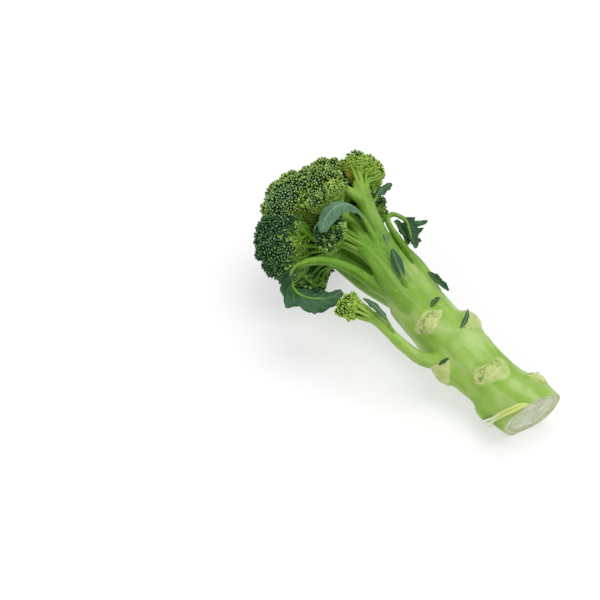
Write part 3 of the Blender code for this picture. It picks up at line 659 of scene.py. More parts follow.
def leaf_look():
    """Leaf blade: dark green with a grey bloom, pale midrib and veins."""
    look = Look("leaf_blade", Roughness=0.45, Specular_IOR_Level=0.12)
    vein, bloom = look.field("vein"), look.field("bloom")
    green = look.layers((0.003, 0.027, 0.005), (look.noise(170, 5), 0.3, 0.7, 1.0, (0.015, 0.066, 0.013)))
    green = look.mix(bloom * look.noise(120, 4).between(0.25, 0.75, 0.45, 1.0), green, (0.110, 0.235, 0.135))
    pale = look.mix(bloom, (0.070, 0.165, 0.035), (0.240, 0.370, 0.220))
    green = look.mix(vein * look.noise(400, 2).between(0.2, 0.6, 0.45, 0.85), green, pale)
    green = look.layers(green, (look.field("edge"), 0.93, 1.0, 0.35, (0.10, 0.20, 0.05)))
    return look.finish(green, look.noise(700, 4) - vein * 1.2, 0.35, 0.0004)


def fibre_look():
    """Peeled skin: yellow-green where it is thick, white and dry at its frayed end."""
    look = Look("peeled_fibre", Roughness=0.5)
    fresh = look.mix(look.noise(500, 3), (0.46, 0.56, 0.09), (0.62, 0.69, 0.26))
    shade = look.layers(fresh, (look.field("dry"), 0.50, 0.95, 1.0, (0.82, 0.86, 0.78)))
    return look.finish(shade, look.noise(1500, 3), 0.3, 0.0002)


def floor_look():
    """A lit white table, whose own light keeps the shadows on it pale."""
    look = Look("floor", Roughness=0.9, Specular_IOR_Level=0.1, Emission_Color=(1, 1, 1, 1),
                Emission_Strength=0.56)
    return look.finish(look.mix(look.noise(3, 2), (0.375, 0.375, 0.375), (0.385, 0.385, 0.385)))


# The stalk

def wrap(angle):
    return (angle + math.pi) % (2 * math.pi) - math.pi


def outline_depth(across, up, outline):
    """How far each point lies inside an outline; below 0 outside it."""
    corners = np.asarray(outline, float)
    points = np.stack([across, up], axis=-1)
    nearest = np.full(across.shape, 1e9)
    inside = np.zeros(across.shape, bool)
    for a, b in zip(corners, np.roll(corners, -1, axis=0)):
        side = b - a
        share = np.clip(((points - a) @ side) / (side @ side), 0, 1)
        nearest = np.minimum(nearest, np.linalg.norm(points - a - share[..., None] * side, axis=-1))
        level = side[1] if abs(side[1]) > 1e-9 else 1e-9
        inside ^= ((a[1] > up) != (b[1] > up)) & (across < a[0] + (up - a[1]) * side[0] / level)
    return np.where(inside, nearest, -nearest)


def stem_shape(rings, sides):
    """The main stem; each scar is a mound cut off flat."""
    rows = curve_through(STEM, rings)
    turn = np.linspace(0, 2 * math.pi, sides, endpoint=False)
    height, bearing = np.meshgrid(rows[:, 0], turn, indexing="ij")
    plain = rows[:, 3:4] + 0.5 * np.cos(5 * bearing + 0.03 * height)
    radius = plain
    for at, scar_bearing, wide, tall, out, outline in SCARS:
        across = wrap(bearing - math.radians(scar_bearing)) * plain
        away = (across / wide) ** 2 + ((height - at) / tall) ** 2
        depth = outline_depth(across, height - at, outline)
        radius = radius + out * np.exp(-(away**2) * 0.7) * (0.72 + 0.28 * fade(depth, -2.0, 0.3))
    x = rows[:, 1:2] + radius * np.cos(bearing)
    y = rows[:, 2:3] + radius * np.sin(bearing)
    return with_caps(np.stack([x, y, height], axis=-1).reshape(-1, 3), rings, sides)


def ridge_rings(ridge):
    """A ridge that a branch leaves down the stem, as rings."""
    knots = []
    for height, bearing, thick, out in ridge:
        x, y, wide = stem_at(height, 200)
        turn, away = math.radians(bearing), wide + out - thick
        knots.append((x + away * math.cos(turn), y + away * math.sin(turn), height, thick))
    return curve_through(knots, 40)


def bunch_shape(name):
    """A bunch's middle, radius and facing, how far below the middle its branch ends, and how thick it is."""
    middle, radius, facing, _ = BUNCHES[name]
    drop, swell = (radius * share for share in WIDE_NECKS.get(name, NECK))
    return np.asarray(middle, float), radius, unit(facing), drop, swell


def branch_knots(name):
    middle, radius, facing, drop, swell = bunch_shape(name)
    end = middle - facing * (drop + GAP)
    knots = list(BUNCHES[name][3])
    knots.append((*(end - facing * 0.45 * radius), 0.5 * (knots[-1][3] + swell) * 0.92))
    return knots + [(*end, swell)]


def branch_rings(name):
    """A branch, a little slimmer in the middle, and drawn in where it parts into branchlets."""
    rings = curve_through(branch_knots(name), 60)
    share = np.linspace(0, 1, len(rings))
    left = np.linalg.norm(rings[:, :3] - rings[-1, :3], axis=1)
    slimmer = 0.12 * np.sin(math.pi * np.clip(share * 1.1, 0, 1)) ** 2
    rings[:, 3] *= 1 - slimmer - 0.46 * (1 - fade(left, 1.0, 11.0))
    return rings


def stalk_fields(vertices, paths):
    """For each point of the stalk: which path it belongs to, how far along it and how far round it."""
    best = np.full(len(vertices), 1e9)
    along, around = np.zeros((2, len(vertices)))
    which = np.zeros(len(vertices), int)
    for number, rings in enumerate(paths):
        steps = np.concatenate([[0], np.cumsum(np.linalg.norm(np.diff(rings[:, :3], axis=0), axis=1))])
        tangents, firsts, seconds = carried_frames(rings[:, :3])
        distance = np.linalg.norm(vertices[:, None] - rings[None, :, :3], axis=2)
        at = distance.argmin(axis=1)
        near = distance[np.arange(len(vertices)), at] / rings[at, 3]
        offset = vertices - rings[at, :3]
        angle = np.arctan2(np.sum(offset * seconds[at], axis=1), np.sum(offset * firsts[at], axis=1))
        # the nearest ring is too coarse a measure along the path, so the offset along it is added
        exact = steps[at] + np.sum(offset * tangents[at], axis=1)
        closer = near < best
        for kept, value in ((best, near), (along, exact), (around, angle)):
            kept[closer] = value[closer]
        which[closer] = number
    return which, along, around


def scar_fields(vertices, normals):
    """How far inside a leaf scar each point is (below 0 outside), and its place across and up that scar."""
    height = vertices[:, 2]
    x, y, wide = stem_at(height, 120)
    bearing = np.arctan2(vertices[:, 1] - y, vertices[:, 0] - x)
    reach = np.hypot(vertices[:, 1] - y, vertices[:, 0] - x)
    outward = normals[:, 0] * np.cos(bearing) + normals[:, 1] * np.sin(bearing)
    inside = np.full(len(vertices), -4.0)
    u, v = np.zeros((2, len(vertices)))
    for number, (at, scar_bearing, half_wide, half_tall, out, outline) in enumerate(SCARS):
        across, up = wrap(bearing - math.radians(scar_bearing)) * wide, height - at
        depth = outline_depth(across, up, outline)
        depth = np.where((outward > 0.15) & (reach < wide + out + 2.5), depth, -4.0)
        closer = depth > inside
        inside = np.where(closer, depth, inside)
        middle = np.mean(outline, axis=0) if number in VEINED_SCARS else OFF_SCAR
        u = np.where(closer, (across - middle[0]) / half_wide * 1.05, u)
        v = np.where(closer, (up - middle[1]) / half_tall * 1.35, v)
    return np.clip(inside, -4, 6), np.clip(u, -3, 3), np.clip(v, -3, 3)


def cut_foot(mesh):
    """Cuts the foot off, and gives back the numbers of the rim's points in order."""
    work = bmesh.new()
    work.from_mesh(mesh)
    everything = work.verts[:] + work.edges[:] + work.faces[:]
    plane = {"plane_co": CUT_AT, "plane_no": CUT_NORMAL}
    cut = bmesh.ops.bisect_plane(work, geom=everything, clear_inner=True, **plane)
    rim = [e for e in cut["geom_cut"] if isinstance(e, bmesh.types.BMEdge) and len(e.link_faces) == 1]
    bmesh.ops.triangulate(work, faces=work.faces)
    work.verts.index_update()
    edge, corner, on_rim = rim[0], rim[0].verts[0], set(rim)
    loop = []
    while corner.index not in loop[:1]:
        loop.append(corner.index)
        corner = edge.other_vert(corner)
        edge = next(e for e in corner.link_edges if e in on_rim and e is not edge)
    work.to_mesh(mesh)
    work.free()
    return loop


def foot_face(rim):
    """The cut face inside its rim: rings of points that dip a little and lie rough."""
    middle, normal = rim.mean(axis=0), -unit(CUT_NORMAL)
    if np.cross(rim, np.roll(rim, -1, axis=0)).sum(axis=0) @ normal < 0:
        rim = rim[::-1]
    shares = (1.0, 0.985, 0.95, 0.88, 0.78, 0.66, 0.54, 0.42, 0.30, 0.18, 0.08)
    rings = []
    for share in shares:
        ring = middle + (rim - middle) * share
        rough = 0.22 * noise_at(ring * 0.55, 3) + 0.12 * noise_at(ring * 1.7, 4)
        lift = rough * min(1.0, (1 - share) * 12) - 0.5 * math.sin(min(1.0, (1 - share) * 2) * math.pi / 2)
        rings.append(ring + normal * lift[:, None])
    count, total = len(rim), len(rim) * len(shares)
    triangles = np.vstack([halved(grid_faces(len(shares), count, True)), fan(total - count, count, total)])
    core = np.append(np.repeat([1 - share for share in shares], count), 1.0)
    return np.vstack([*rings, middle + normal * -0.5]), triangles, core


def build_stalk():
    branches = [branch_rings(name) for name in BUNCHES]
    leaf_stalks = [curve_through(points, 50) for points in LEAF_STALKS]
    parts = [stem_shape(170, 128)]
    parts += [rod(rings, 28, bunch_shape(name)[2]) for name, rings in zip(BUNCHES, branches)]
    parts += [rod(rings, 28) for rings in leaf_stalks]
    parts += [rod(ridge_rings(ridge), 24) for ridge in RIDGES]
    parts += [rod(curve_through(path, 24), 20) for path in (STUB, FLAP)]
    skin = voxel_union(*joined(parts), 0.8)
    vertices, triangles, edges = mesh_arrays(skin)
    vertices = smoothed(vertices, edges, 8)
    normals = vertex_normals(vertices, triangles)
    stem = curve_through(STEM, 90)[:, [1, 2, 0, 3]]
    which, along, around = stalk_fields(vertices, [stem, *branches, *leaf_stalks])
    # how far each point sinks below its neighbours, which sets the painted shade in the creases
    hollow = np.sum((neighbour_mean(smoothed(vertices, edges, 10), edges) - vertices) * normals, axis=1)

    def run(turns, length, apart):
        return np.stack([around * turns, along * length, which * apart], axis=1)

    ridge_place, streak_place = run(1.7, 0.026, 7.0), run(2.6, 0.045, 3.0)
    lines = 0.5 + 0.5 * noise_at(run(8, 0.07, 5.0), 13)
    ridges = noise_at(ridge_place, 11) + 0.45 * noise_at(ridge_place * (2.2, 1.6, 1), 12)
    ridges = ridges * np.clip(0.75 + 0.9 * noise_at(vertices * 0.07, 20), 0.1, 1.4)
    relief = np.where(which > 0, 0.44, 0.28) * ridges + 0.07 * (lines - 0.5)
    relief = relief + 0.22 * noise_at(vertices * 0.17, 14)
    streak = 0.5 + 0.34 * noise_at(streak_place, 27) + 0.26 * noise_at(streak_place * (2.1, 1.7, 1), 28)
    streak = streak + 0.16 * noise_at(vertices * 0.12, 29)
    inside, scar_across, scar_up = scar_fields(vertices, normals)
    ragged = inside + 0.45 * noise_at(vertices * 0.8, 18)
    on_scar = fade(ragged, -0.5, 0.5)
    rough = 0.20 * noise_at(vertices * 0.9, 15) + 0.12 * noise_at(vertices * 2.1, 16)
    lip = 0.22 * np.exp(-(((ragged + 0.3) / 0.7) ** 2)) * (0.6 + 0.6 * noise_at(vertices * 0.5, 19))
    relief = relief * (1 - on_scar) + (rough - 0.35) * on_scar + lip
    vertices = vertices + normals * relief[:, None]
    skin.vertices.foreach_set("co", vertices.ravel())
    skin.update()
    height = vertices[:, 2]
    green = 0.10 + 0.62 * fade(height, 55, 150) + 0.14 * noise_at(vertices * 0.06, 17) + 0.12 * (which > 0)
    made = {
        "green": smoothed(green, edges, 14), "lines": smoothed(lines, edges, 3),
        "streak": smoothed(streak, edges, 6),
        # painted shade in the hollows, from the crease measure, only from about 50 mm up
        "crease_shade": np.clip(hollow * 1.9, 0, 1) * fade(height, 50, 105), "young": fade(height, 150, 185) * 0.7,
        "scar": inside, "scar_across": scar_across, "scar_up": scar_up,
    }
    add_fields(skin, made)
    rim = cut_foot(skin)
    vertices, triangles, _ = mesh_arrays(skin)
    face, face_triangles, core = foot_face(vertices[rim])
    fields = {"core": np.append(np.zeros(len(vertices)), core)}
    for name in made:
        values = np.empty(len(vertices), np.float32)
        skin.attributes[name].data.foreach_get("value", values)
        fields[name] = np.append(values, np.zeros(len(face)))
    bpy.data.meshes.remove(skin)
    look_of_face = np.repeat([0, 1], [len(triangles), len(face_triangles)])
    both = joined([(vertices, triangles), (face, face_triangles)])
    make_piece("stalk_skin", *both, (STALK, CUT), "stalk", "stalk", fields, look_of_face)


# The bunches

def drawing(seed, name):
    return np.random.default_rng(seed + list(BUNCHES).index(name))


def lumps(name, directions, spacing, seed, least=14, scatter=None, reach=0.60):
    """1 at the top of each lump and 0 in the creases between them."""
    radius = BUNCHES[name][1]
    tops = fibonacci_directions(max(least, int(4 * math.pi * radius**2 / (0.866 * spacing**2))))
    tops = unit(tops + drawing(seed, name).normal(0, scatter or 0.24 * spacing / radius, tops.shape))
    nearest = (directions @ tops.T).max(axis=1)
    return 1 - np.minimum(np.arccos(np.clip(nearest, -1, 1)) / (reach * spacing / radius), 1) ** 2


def branch_limit(name, middle, directions):
    """How far each direction goes from a bunch's middle before it meets the branch of another bunch."""
    limit = np.full(len(directions), 1e3)
    for other in BUNCHES:
        if other == name:
            continue
        rings = curve_through(branch_knots(other), 28)
        for place, thick in zip(rings[:, :3] - middle, rings[:, 3] + BRANCH_CLEAR):
            ahead = directions @ place
            inside = thick**2 - place @ place + ahead**2
            meets = (inside > 0) & (ahead > 0)
            limit = np.where(meets, np.minimum(limit, ahead - np.sqrt(np.maximum(inside, 0))), limit)
    return limit


def plane_reach(distance, towards):
    """How far each direction goes before a plane at a distance, from how far it leans towards the plane."""
    return np.where(towards > 1e-6, distance / np.maximum(towards, 1e-6), 1e3)


def dome_reach(name, directions):
    """How far a bunch reaches along each direction, how bare and how high it lies there, and how far up."""
    middle, radius, facing, drop, neck = bunch_shape(name)
    along = directions @ facing
    across = np.sqrt(np.maximum(1 - along**2, 0))
    lump = lumps(name, directions, *LARGE)
    reach = radius + LUMP_RELIEF * (lump - 0.6)
    rim = math.radians(RIM_ANGLE)
    edge = np.array([radius * math.sin(rim), radius * math.cos(rim)])
    slope = unit(np.array([edge[1] + drop, -(edge[0] - neck)]))
    reach = smooth_min(reach, plane_reach(edge @ slope, across * slope[0] + along * slope[1]), ROUNDING)
    free = reach
    for other, (place, size, _, _) in BUNCHES.items():
        apart = np.asarray(place, float) - middle
        distance = np.linalg.norm(apart)
        if other == name or distance > radius + size + 2 * ROUNDING:
            continue
        share = (distance**2 + radius**2 - size**2) / (2 * distance) - GAP / 2
        reach = smooth_min(reach, plane_reach(share, directions @ (apart / distance)), ROUNDING)
    bare = np.clip(1 - (free - reach) / 2.5, 0, 1)
    down = LYING.T @ np.array([0, 0, -1.0])
    ground = plane_reach(-FLOOR - middle @ down, directions @ down)
    limit = np.minimum(np.minimum(ground, plane_reach(drop, -along)), branch_limit(name, middle, directions))
    # clusters of buds part from each other, and are ragged at the rim
    carved = np.clip((along + 0.55) / 0.3, 0, 1) * np.clip(bare * 1.4, 0, 1)
    small, middling = lumps(name, directions, *SMALL), lumps(name, directions, *MIDDLING)
    cut = 1.9 * (1 - small) ** 1.4 + 2.2 * (1 - middling) ** 1.6
    reach = np.minimum(reach + carved * (0.80 - cut), limit)
    return reach, bare, lump * 0.5 + middling * 0.5, along


def hull_faces(directions):
    hull = bmesh.new()
    for direction in directions:
        hull.verts.new(direction)
    bmesh.ops.convex_hull(hull, input=hull.verts)
    bmesh.ops.triangulate(hull, faces=hull.faces)
    hull.verts.index_update()
    directions = np.array([v.co[:] for v in hull.verts])
    faces = np.array([[v.index for v in f.verts] for f in hull.faces])
    hull.free()
    return unit(directions), faces


def thin_out(points, spacing):
    """Numbers of points that are kept so that none is closer than its spacing to one kept before it."""
    tree = KDTree(len(points))
    for i, point in enumerate(points):
        tree.insert(point, i)
    tree.balance()
    free = np.ones(len(points), bool)
    kept = []
    for i in range(len(points)):
        if free[i]:
            kept.append(i)
            for _, j, _ in tree.find_range(points[i], spacing[i]):
                free[j] = False
    return np.array(kept)


def bud_template():
    """A closed bud: points, and triangles."""
    turn = np.linspace(0, 2 * math.pi, BUD_SIDES, endpoint=False)
    points = []
    for height, wide, dip in BUD_RINGS:
        out = wide * (1 - dip * (np.arange(BUD_SIDES) % 2))
        points.append(np.stack([out * np.cos(turn), out * np.sin(turn), np.full(BUD_SIDES, height)], axis=1))
    total = len(BUD_RINGS) * BUD_SIDES
    tip = fan(total - BUD_SIDES, BUD_SIDES, total)
    sides = halved(grid_faces(len(BUD_RINGS), BUD_SIDES, True))
    return np.vstack([*points, [[0, 0, 0.92]]]), np.vstack([sides, tip])


def set_buds(places, axes, sizes, draw, tones, young, old):
    """One mesh of many buds, with the fields that colour them."""
    template, triangles = bud_template()
    count, each = len(places), len(template)
    axes = unit(axes)
    helper = np.where(np.abs(axes[:, :1]) < 0.8, [[1.0, 0, 0]], [[0, 1.0, 0]])
    first = unit(np.cross(axes, helper))
    second = np.cross(axes, first)
    spin = draw.uniform(0, 2 * math.pi, count)[:, None]
    one = np.cos(spin) * first + np.sin(spin) * second
    two = np.cross(axes, one)
    wide = sizes * draw.uniform(0.90, 1.08, count)
    tall = sizes * draw.uniform(1.00, 1.30, count)
    vertices = places[:, None]
    for way, column, size in ((one, 0, wide), (two, 1, wide), (axes, 2, tall)):
        vertices = vertices + way[:, None] * (template[:, column, None] * size[:, None, None])
    faces = (triangles[None] + (np.arange(count) * each)[:, None, None]).reshape(-1, 3)
    fields = {"tone": tones, "young": young, "old": old}
    fields = {key: np.repeat(values, each) for key, values in fields.items()}
    fields["tip"] = np.tile((template[:, 2] + 1) / 2, count)
    return vertices.reshape(-1, 3), faces, fields


def old_here(name, points):
    """How brown the buds are in the right bunch's old spot."""
    away = np.linalg.norm(points - OLD_SPOT, axis=1) / 4.2
    return 0.70 * np.exp(-(away**2)) * (name == "bunch_right")


def bunch_buds(name):
    """Buds over the bare part of the dome, smaller and younger towards its rim and its creases."""
    middle, radius, facing, _, _ = bunch_shape(name)
    youth, cover, pale, rim = YOUTH_AND_LIGHT.get(name, OLDER)
    draw = drawing(700, name)
    bud = 0.73 if radius > 10 else 0.66
    directions = unit(draw.normal(size=(int(4 * math.pi * radius**2 / (0.34 * bud**2)), 3)))
    places = middle + directions * radius
    ragged = noise_at(places * 0.16, 24) * 9 + noise_at(places * 0.42, 25) * 7
    directions = directions[directions @ facing > np.cos(np.radians(cover + ragged))]
    reach, bare, lump, along = dome_reach(name, directions)
    directions, reach, bare, lump, along = (a[bare > 0.05] for a in (directions, reach, bare, lump, along))
    small = lumps(name, directions, *SMALL)
    edge, below = fade(-along, 0.0, 0.40), fade(-along, 0.16, 0.36)
    sizes = bud * (1 - 0.16 * edge - 0.16 * below) * (0.88 + 0.16 * small)
    sizes = sizes * draw.uniform(0.84, 1.16, len(along))
    lift = reach - 0.45 - 0.75 * below + draw.uniform(-0.34, 0.28, len(along))
    points = middle + directions * lift[:, None]
    chosen = thin_out(points, sizes * 1.90)
    directions, bare, lump, small, sizes, points, edge, below = (
        a[chosen] for a in (directions, bare, lump, small, sizes, points, edge, below))
    # the surface's own slope turns each bud, so that lumps show
    first = unit(np.cross(directions, draw.normal(size=directions.shape)))
    second = np.cross(directions, first)
    axes = directions
    for way in (first, second):
        ahead, behind = (dome_reach(name, unit(directions + way * step / radius))[0] for step in (0.7, -0.7))
        axes = axes - way * np.clip((ahead - behind) / 1.4, -0.9, 0.9)[:, None]
    axes = unit(unit(axes) + draw.normal(0, 0.16, axes.shape))
    count = len(points)
    patch = np.maximum(noise_at(points * 0.085, 21), -0.4)
    young = youth + rim * (edge + 0.45 * below) + 0.35 * (1 - lump) * (1 - small)
    young = young + 0.32 * patch + 0.20 * (1 - bare)
    young = np.clip(young + draw.normal(0, 0.13, count), 0, 1)
    # the bunch's pale value, which is mostly painted light, plus random tone
    tones = pale + 0.24 * noise_at(points * 0.22, 22) + 0.26 * noise_at(points * 0.6, 26)
    tones = np.clip(tones + draw.normal(0, 0.22, count), 0, 1)
    old = draw.uniform(size=count) < np.clip(0.16 * noise_at(points * 0.10, 23) - 0.03, 0, 0.12)
    old = np.maximum(old * draw.uniform(0.1, 0.45, count), old_here(name, points))
    return set_buds(points, axes, sizes, draw, tones, young, old)


def bunch_core(name):
    """The close-packed inside that shows between the buds and under the rim, painted near-black as shade
    between the buds.
    """
    middle, radius, _, _, _ = bunch_shape(name)
    directions, faces = hull_faces(fibonacci_directions(4200 if radius > 10 else 1600))
    reach, _, _, along = dome_reach(name, directions)
    under = fade(-along, 0.10, 0.36)
    depth = 1.25 * (1 - under) + 1.5 * under * fade(along, -0.97, -0.85)
    vertices = middle + directions * (reach - depth)[:, None]
    youth, _, _, rim = YOUTH_AND_LIGHT.get(name, OLDER)
    young = np.clip(youth + 0.6 * rim, 0, 1) * under
    # painted shade: low tip and tone on the core's top give it the near-black colour of the gaps between buds
    fields = {"tip": 0.5 * under, "tone": 0.1 + 0.2 * under, "young": young, "old": old_here(name, vertices)}
    return vertices, faces, fields


def fan_paths(name):
    """The crisp branchlets that the branch's end parts into, as rings, and where they point."""
    middle, radius, facing, drop, swell = bunch_shape(name)
    neck = middle - facing * drop
    first, second = frame_along(facing)
    draw = drawing(800, name)
    branch = curve_through(branch_knots(name), 60)
    left = np.linalg.norm(branch[:, :3] - branch[-1, :3], axis=1)
    apart, shorter = (2.9, 1.0) if name in ("bunch_right", "bunch_front") else (3.8, 0.75)
    count = max(6, int(round(2 * math.pi * swell / apart)))
    for k in range(count):
        turn = 2 * math.pi * (k + draw.uniform(-0.34, 0.34)) / count
        side = math.cos(turn) * first + math.sin(turn) * second
        polar = math.radians(draw.uniform(95, 106))
        goal = unit(side * math.sin(polar) + facing * math.cos(polar))
        reach, bare, _, _ = dome_reach(name, goal[None])
        if bare[0] < 0.3:
            continue
        thick = min(swell * draw.uniform(0.18, 0.30), draw.uniform(0.95, 1.55))
        at = np.argmin(np.abs(left - draw.uniform(8.0, 17.0) * shorter))
        along = unit(branch[min(at + 1, 59), :3] - branch[at - 1, :3])
        out = unit(side - along * (side @ along))
        start = branch[at, :3] + out * (branch[at, 3] * 0.84 - thick * 0.7)
        at_neck = neck + side * (swell - thick * 0.35) + facing * draw.uniform(-1.0, 0.8)
        end = at_neck + (middle + goal * (reach[0] - 0.15) - at_neck) * draw.uniform(0.72, 1.0)
        bend = 0.45 * at_neck + 0.55 * end - facing * 0.3 + draw.normal(0, 0.5, 3)
        knots = [(*start, thick * 0.95), (*at_neck, thick), (*bend, thick * 0.76), (*end, thick * 0.52)]
        yield curve_through(knots, 22), turn


def bunch_twigs(name):
    """Branchlets from the branch to the rim and underside, each with a few twigs, and where the twigs end."""
    middle, radius, facing, _, _ = bunch_shape(name)
    first, second = frame_along(facing)
    draw = drawing(900, name)
    parts, ends = [], []
    size = max(0.62, min(1.0, radius / 20))

    def add_twig(knots, wide, sides):
        path = curve_through(knots, len(wide))
        parts.append(rod(np.column_stack([path, wide]), sides))
        return path

    for rings, turn in fan_paths(name):
        knobby = rings[:, 3] * (1 + 0.16 * noise_at(rings[:, :3] * 0.5, 33))
        parts.append(rod(np.column_stack([rings[:, :3], knobby]), 12))
        for _ in range(5):
            root = rings[int(draw.uniform(9, 21))]
            swing = turn + draw.uniform(-0.62, 0.62)
            side = math.cos(swing) * first + math.sin(swing) * second
            polar = math.radians(draw.uniform(78, 112))
            goal = unit(side * math.sin(polar) + facing * math.cos(polar))
            reach, bare, _, _ = dome_reach(name, goal[None])
            if bare[0] < 0.25:
                continue
            end = middle + goal * (reach[0] - draw.uniform(1.2, 2.2))
            bend = 0.5 * (root[:3] + end) - facing * 0.06 * radius + side * 0.04 * radius
            wide = np.linspace(min(root[3] * 0.6, 1.5 * size), 0.62 * size, 9) * draw.uniform(0.85, 1.1)
            fork = add_twig([root[:3], bend, end], wide, 8)[5]
            ends.append((end, unit(end - bend)))
            for _ in range(2):
                spread = unit(goal + draw.normal(0, 0.22, 3))
                tip = middle + spread * (dome_reach(name, spread[None])[0][0] - 1.2)
                if np.linalg.norm(tip - fork) > 9:
                    continue
                add_twig([fork, 0.5 * (fork + tip) - facing * 0.3, tip], np.linspace(0.72, 0.45, 6) * size, 6)
                ends.append((tip, unit(tip - fork)))
    return parts, np.array(ends)


def twig_buds(name, ends):
    """A ball of young buds at each twig's end."""
    middle = bunch_shape(name)[0]
    draw = drawing(1100, name)
    places, axes = np.repeat(ends, 8, axis=0).transpose(1, 0, 2)
    turned = unit(axes + draw.normal(0, 0.70, axes.shape))
    spots = places + turned * draw.uniform(0.7, 1.25, (len(turned), 1))
    inner = unit(spots - middle)
    far = np.linalg.norm(spots - middle, axis=1)
    spots = middle + inner * np.minimum(far, dome_reach(name, inner)[0] - 0.2)[:, None]
    spans = (0.50, 0.74), (0.2, 1), (0.65, 1.0)
    sizes, tones, young = (draw.uniform(low, high, len(spots)) for low, high in spans)
    return set_buds(spots, turned, sizes, draw, tones, young, np.zeros(len(spots)))


def skin_fields(points, seed, green, young, crease_shade):
    """The fields of a thin part that has the stalk's skin and no scars."""
    even = {"green": green, "young": young, "crease_shade": crease_shade, "streak": 0.5,
            "scar": -4.0, "scar_across": 0.0, "scar_up": 0.0}
    fields = {key: np.full(len(points), value) for key, value in even.items()}
    return fields | {"lines": 0.5 + 0.5 * noise_at(points * 0.9, seed)}


def build_bunch(name):
    twigs, ends = bunch_twigs(name)
    layers = [bunch_buds(name)] + ([twig_buds(name, ends)] if twigs else []) + [bunch_core(name)]
    fields = {key: np.concatenate([its[key] for _, _, its in layers]) for key in layers[0][2]}
    both = joined([(vertices, faces) for vertices, faces, _ in layers])
    make_piece(name + "_buds", *both, (BUDS,), "buds", name, fields)
    if twigs:
        middle, radius, _, _, _ = bunch_shape(name)
        points, faces = joined(twigs)
        youth, _, _, rim = YOUTH_AND_LIGHT.get(name, OLDER)
        youth = min(0.6, max(0.0, youth))
        inward = fade(np.linalg.norm(points - middle, axis=1) / radius, 0.95, 0.45)
        # painted shade: branchlets darker deeper inside the bunch, and more so in bunches with little rim
        # youth, which lie in shade
        crease_shade = 0.35 * inward if rim > 0.2 else 0.8 * inward + 0.15
        fields = skin_fields(points, 31, 1.05 - 0.7 * youth, 0.15 + 1.1 * youth, crease_shade)
        make_piece(name + "_branchlets", points, faces, (STALK,), "stalk", None, fields)


# The leaves

def sheet_normals(sheet):
    return unit(np.cross(np.gradient(sheet, axis=0), np.gradient(sheet, axis=1)))


def build_blade(name, seed, replaced, rib, side, half, cup, lobes, wave, bloom, blunt=0.75):
    """A thin leaf blade with notched, ruffled edges and veins."""
    middle = curve_through(rib, BLADE_LONG)
    tangents = unit(np.gradient(middle, axis=0))
    share = np.linspace(0, 1, BLADE_LONG)[:, None]
    sides = np.array(side[0]) * (1 - share) + np.array(side[1]) * share
    sides = unit(sides - tangents * np.sum(sides * tangents, axis=1, keepdims=True))
    normals = np.cross(tangents, sides)
    outline = np.sin(math.pi * np.clip(0.06 + 0.90 * share, 0, 1)) ** blunt
    across = np.tile(np.linspace(-1, 1, BLADE_ACROSS + 1), (BLADE_LONG, 1))
    edge, hand, left = np.abs(across), np.sign(across), across < 0
    count, depth = lobes
    notch = 1.0
    if count:
        phase = np.where(left, 0.0, 0.45)
        notch = 1 - depth * np.abs(np.sin(math.pi * (count * share + phase))) ** 0.6
        notch = notch * (1 - 0.07 * np.abs(np.sin(math.pi * ((3 * count + 6) * share + 2 * phase))))
    width = np.where(left, *half) * outline * (1 - (1 - notch) * edge)
    out = across * width
    size = max(half)
    vein_gap = np.abs((share * 9.0 - edge * 1.7 + 0.5 * left) % 1 - 0.5) * 2
    side_vein = np.exp(-(((1 - vein_gap) / 0.16) ** 2)) * (1 - 0.6 * edge) * (edge > 0.02)
    rib_line = np.exp(-((out / (0.55 * (1 - 0.7 * share) + 0.1)) ** 2))
    lift = cup * edge**1.5 * width
    lift += wave * edge * outline * np.sin(2 * math.pi * (2.4 * share + 0.3 * hand))
    ruffle = np.sin(2 * math.pi * (7.5 * share + 0.37 * hand)) * edge**3
    lift += 0.055 * size * ruffle * outline * (1.6 if count else 0.5)
    lift += 0.035 * size * (vein_gap**2 - 0.5) * edge**0.5
    sheet = middle[:, None] + sides[:, None] * out[..., None] + normals[:, None] * lift[..., None]
    crumple = 0.05 * size * noise_at(sheet.reshape(-1, 3) * (2.6 / size), 50 + seed).reshape(out.shape)
    sheet = sheet + sheet_normals(sheet) * (crumple * np.minimum(1, 4 * share))[..., None]
    thick = BLADE_THICK / 2 * (1 - 0.5 * edge**4) + 0.55 * rib_line * (1 - 0.75 * share) * min(1, size / 8)
    rise = sheet_normals(sheet) * thick[..., None]
    grid = np.arange(edge.size).reshape(edge.shape)
    quads = grid_faces(*edge.shape, False)
    loop = np.concatenate([grid[:-1, 0], grid[-1, :-1], grid[:0:-1, -1], grid[0, :0:-1]])
    after = np.roll(loop, -1)
    sides = np.stack([after, loop, loop + grid.size, after + grid.size], axis=1)
    fields = {
        "vein": np.tile(np.clip(np.maximum(rib_line, 0.75 * side_vein), 0, 1).ravel(), 2),
        "bloom": np.repeat([bloom, min(1, bloom + 0.25)], grid.size), "edge": np.tile(edge.ravel(), 2),
    }
    vertices = np.vstack([(sheet + rise).reshape(-1, 3), (sheet - rise).reshape(-1, 3)])
    faces = np.vstack([quads[:, ::-1], quads + grid.size, sides])
    make_piece(name + "_blade", vertices, faces, (LEAF,), "leaf", name if replaced else None, fields)


def build_ribs():
    for name, points in RIBS.items():
        vertices, faces = rod(curve_through(points, 40), 12)
        make_piece(name, vertices, faces, (STALK,), "leaf", None, skin_fields(vertices, 32, 0.75, 0.2, 0.0))


# Loose skin at the foot

def build_threads(name, threads):
    """Skin in threads, each with its rings and how dry it is at each of them."""
    sides = 7
    dry = np.concatenate([np.append(np.repeat(dryness, sides), dryness[[0, -1]]) for _, dryness in threads])
    both = joined([rod(rings, sides) for rings, _ in threads])
    make_piece(name, *both, (FIBRE,), "stalk", None, {"dry": dry})


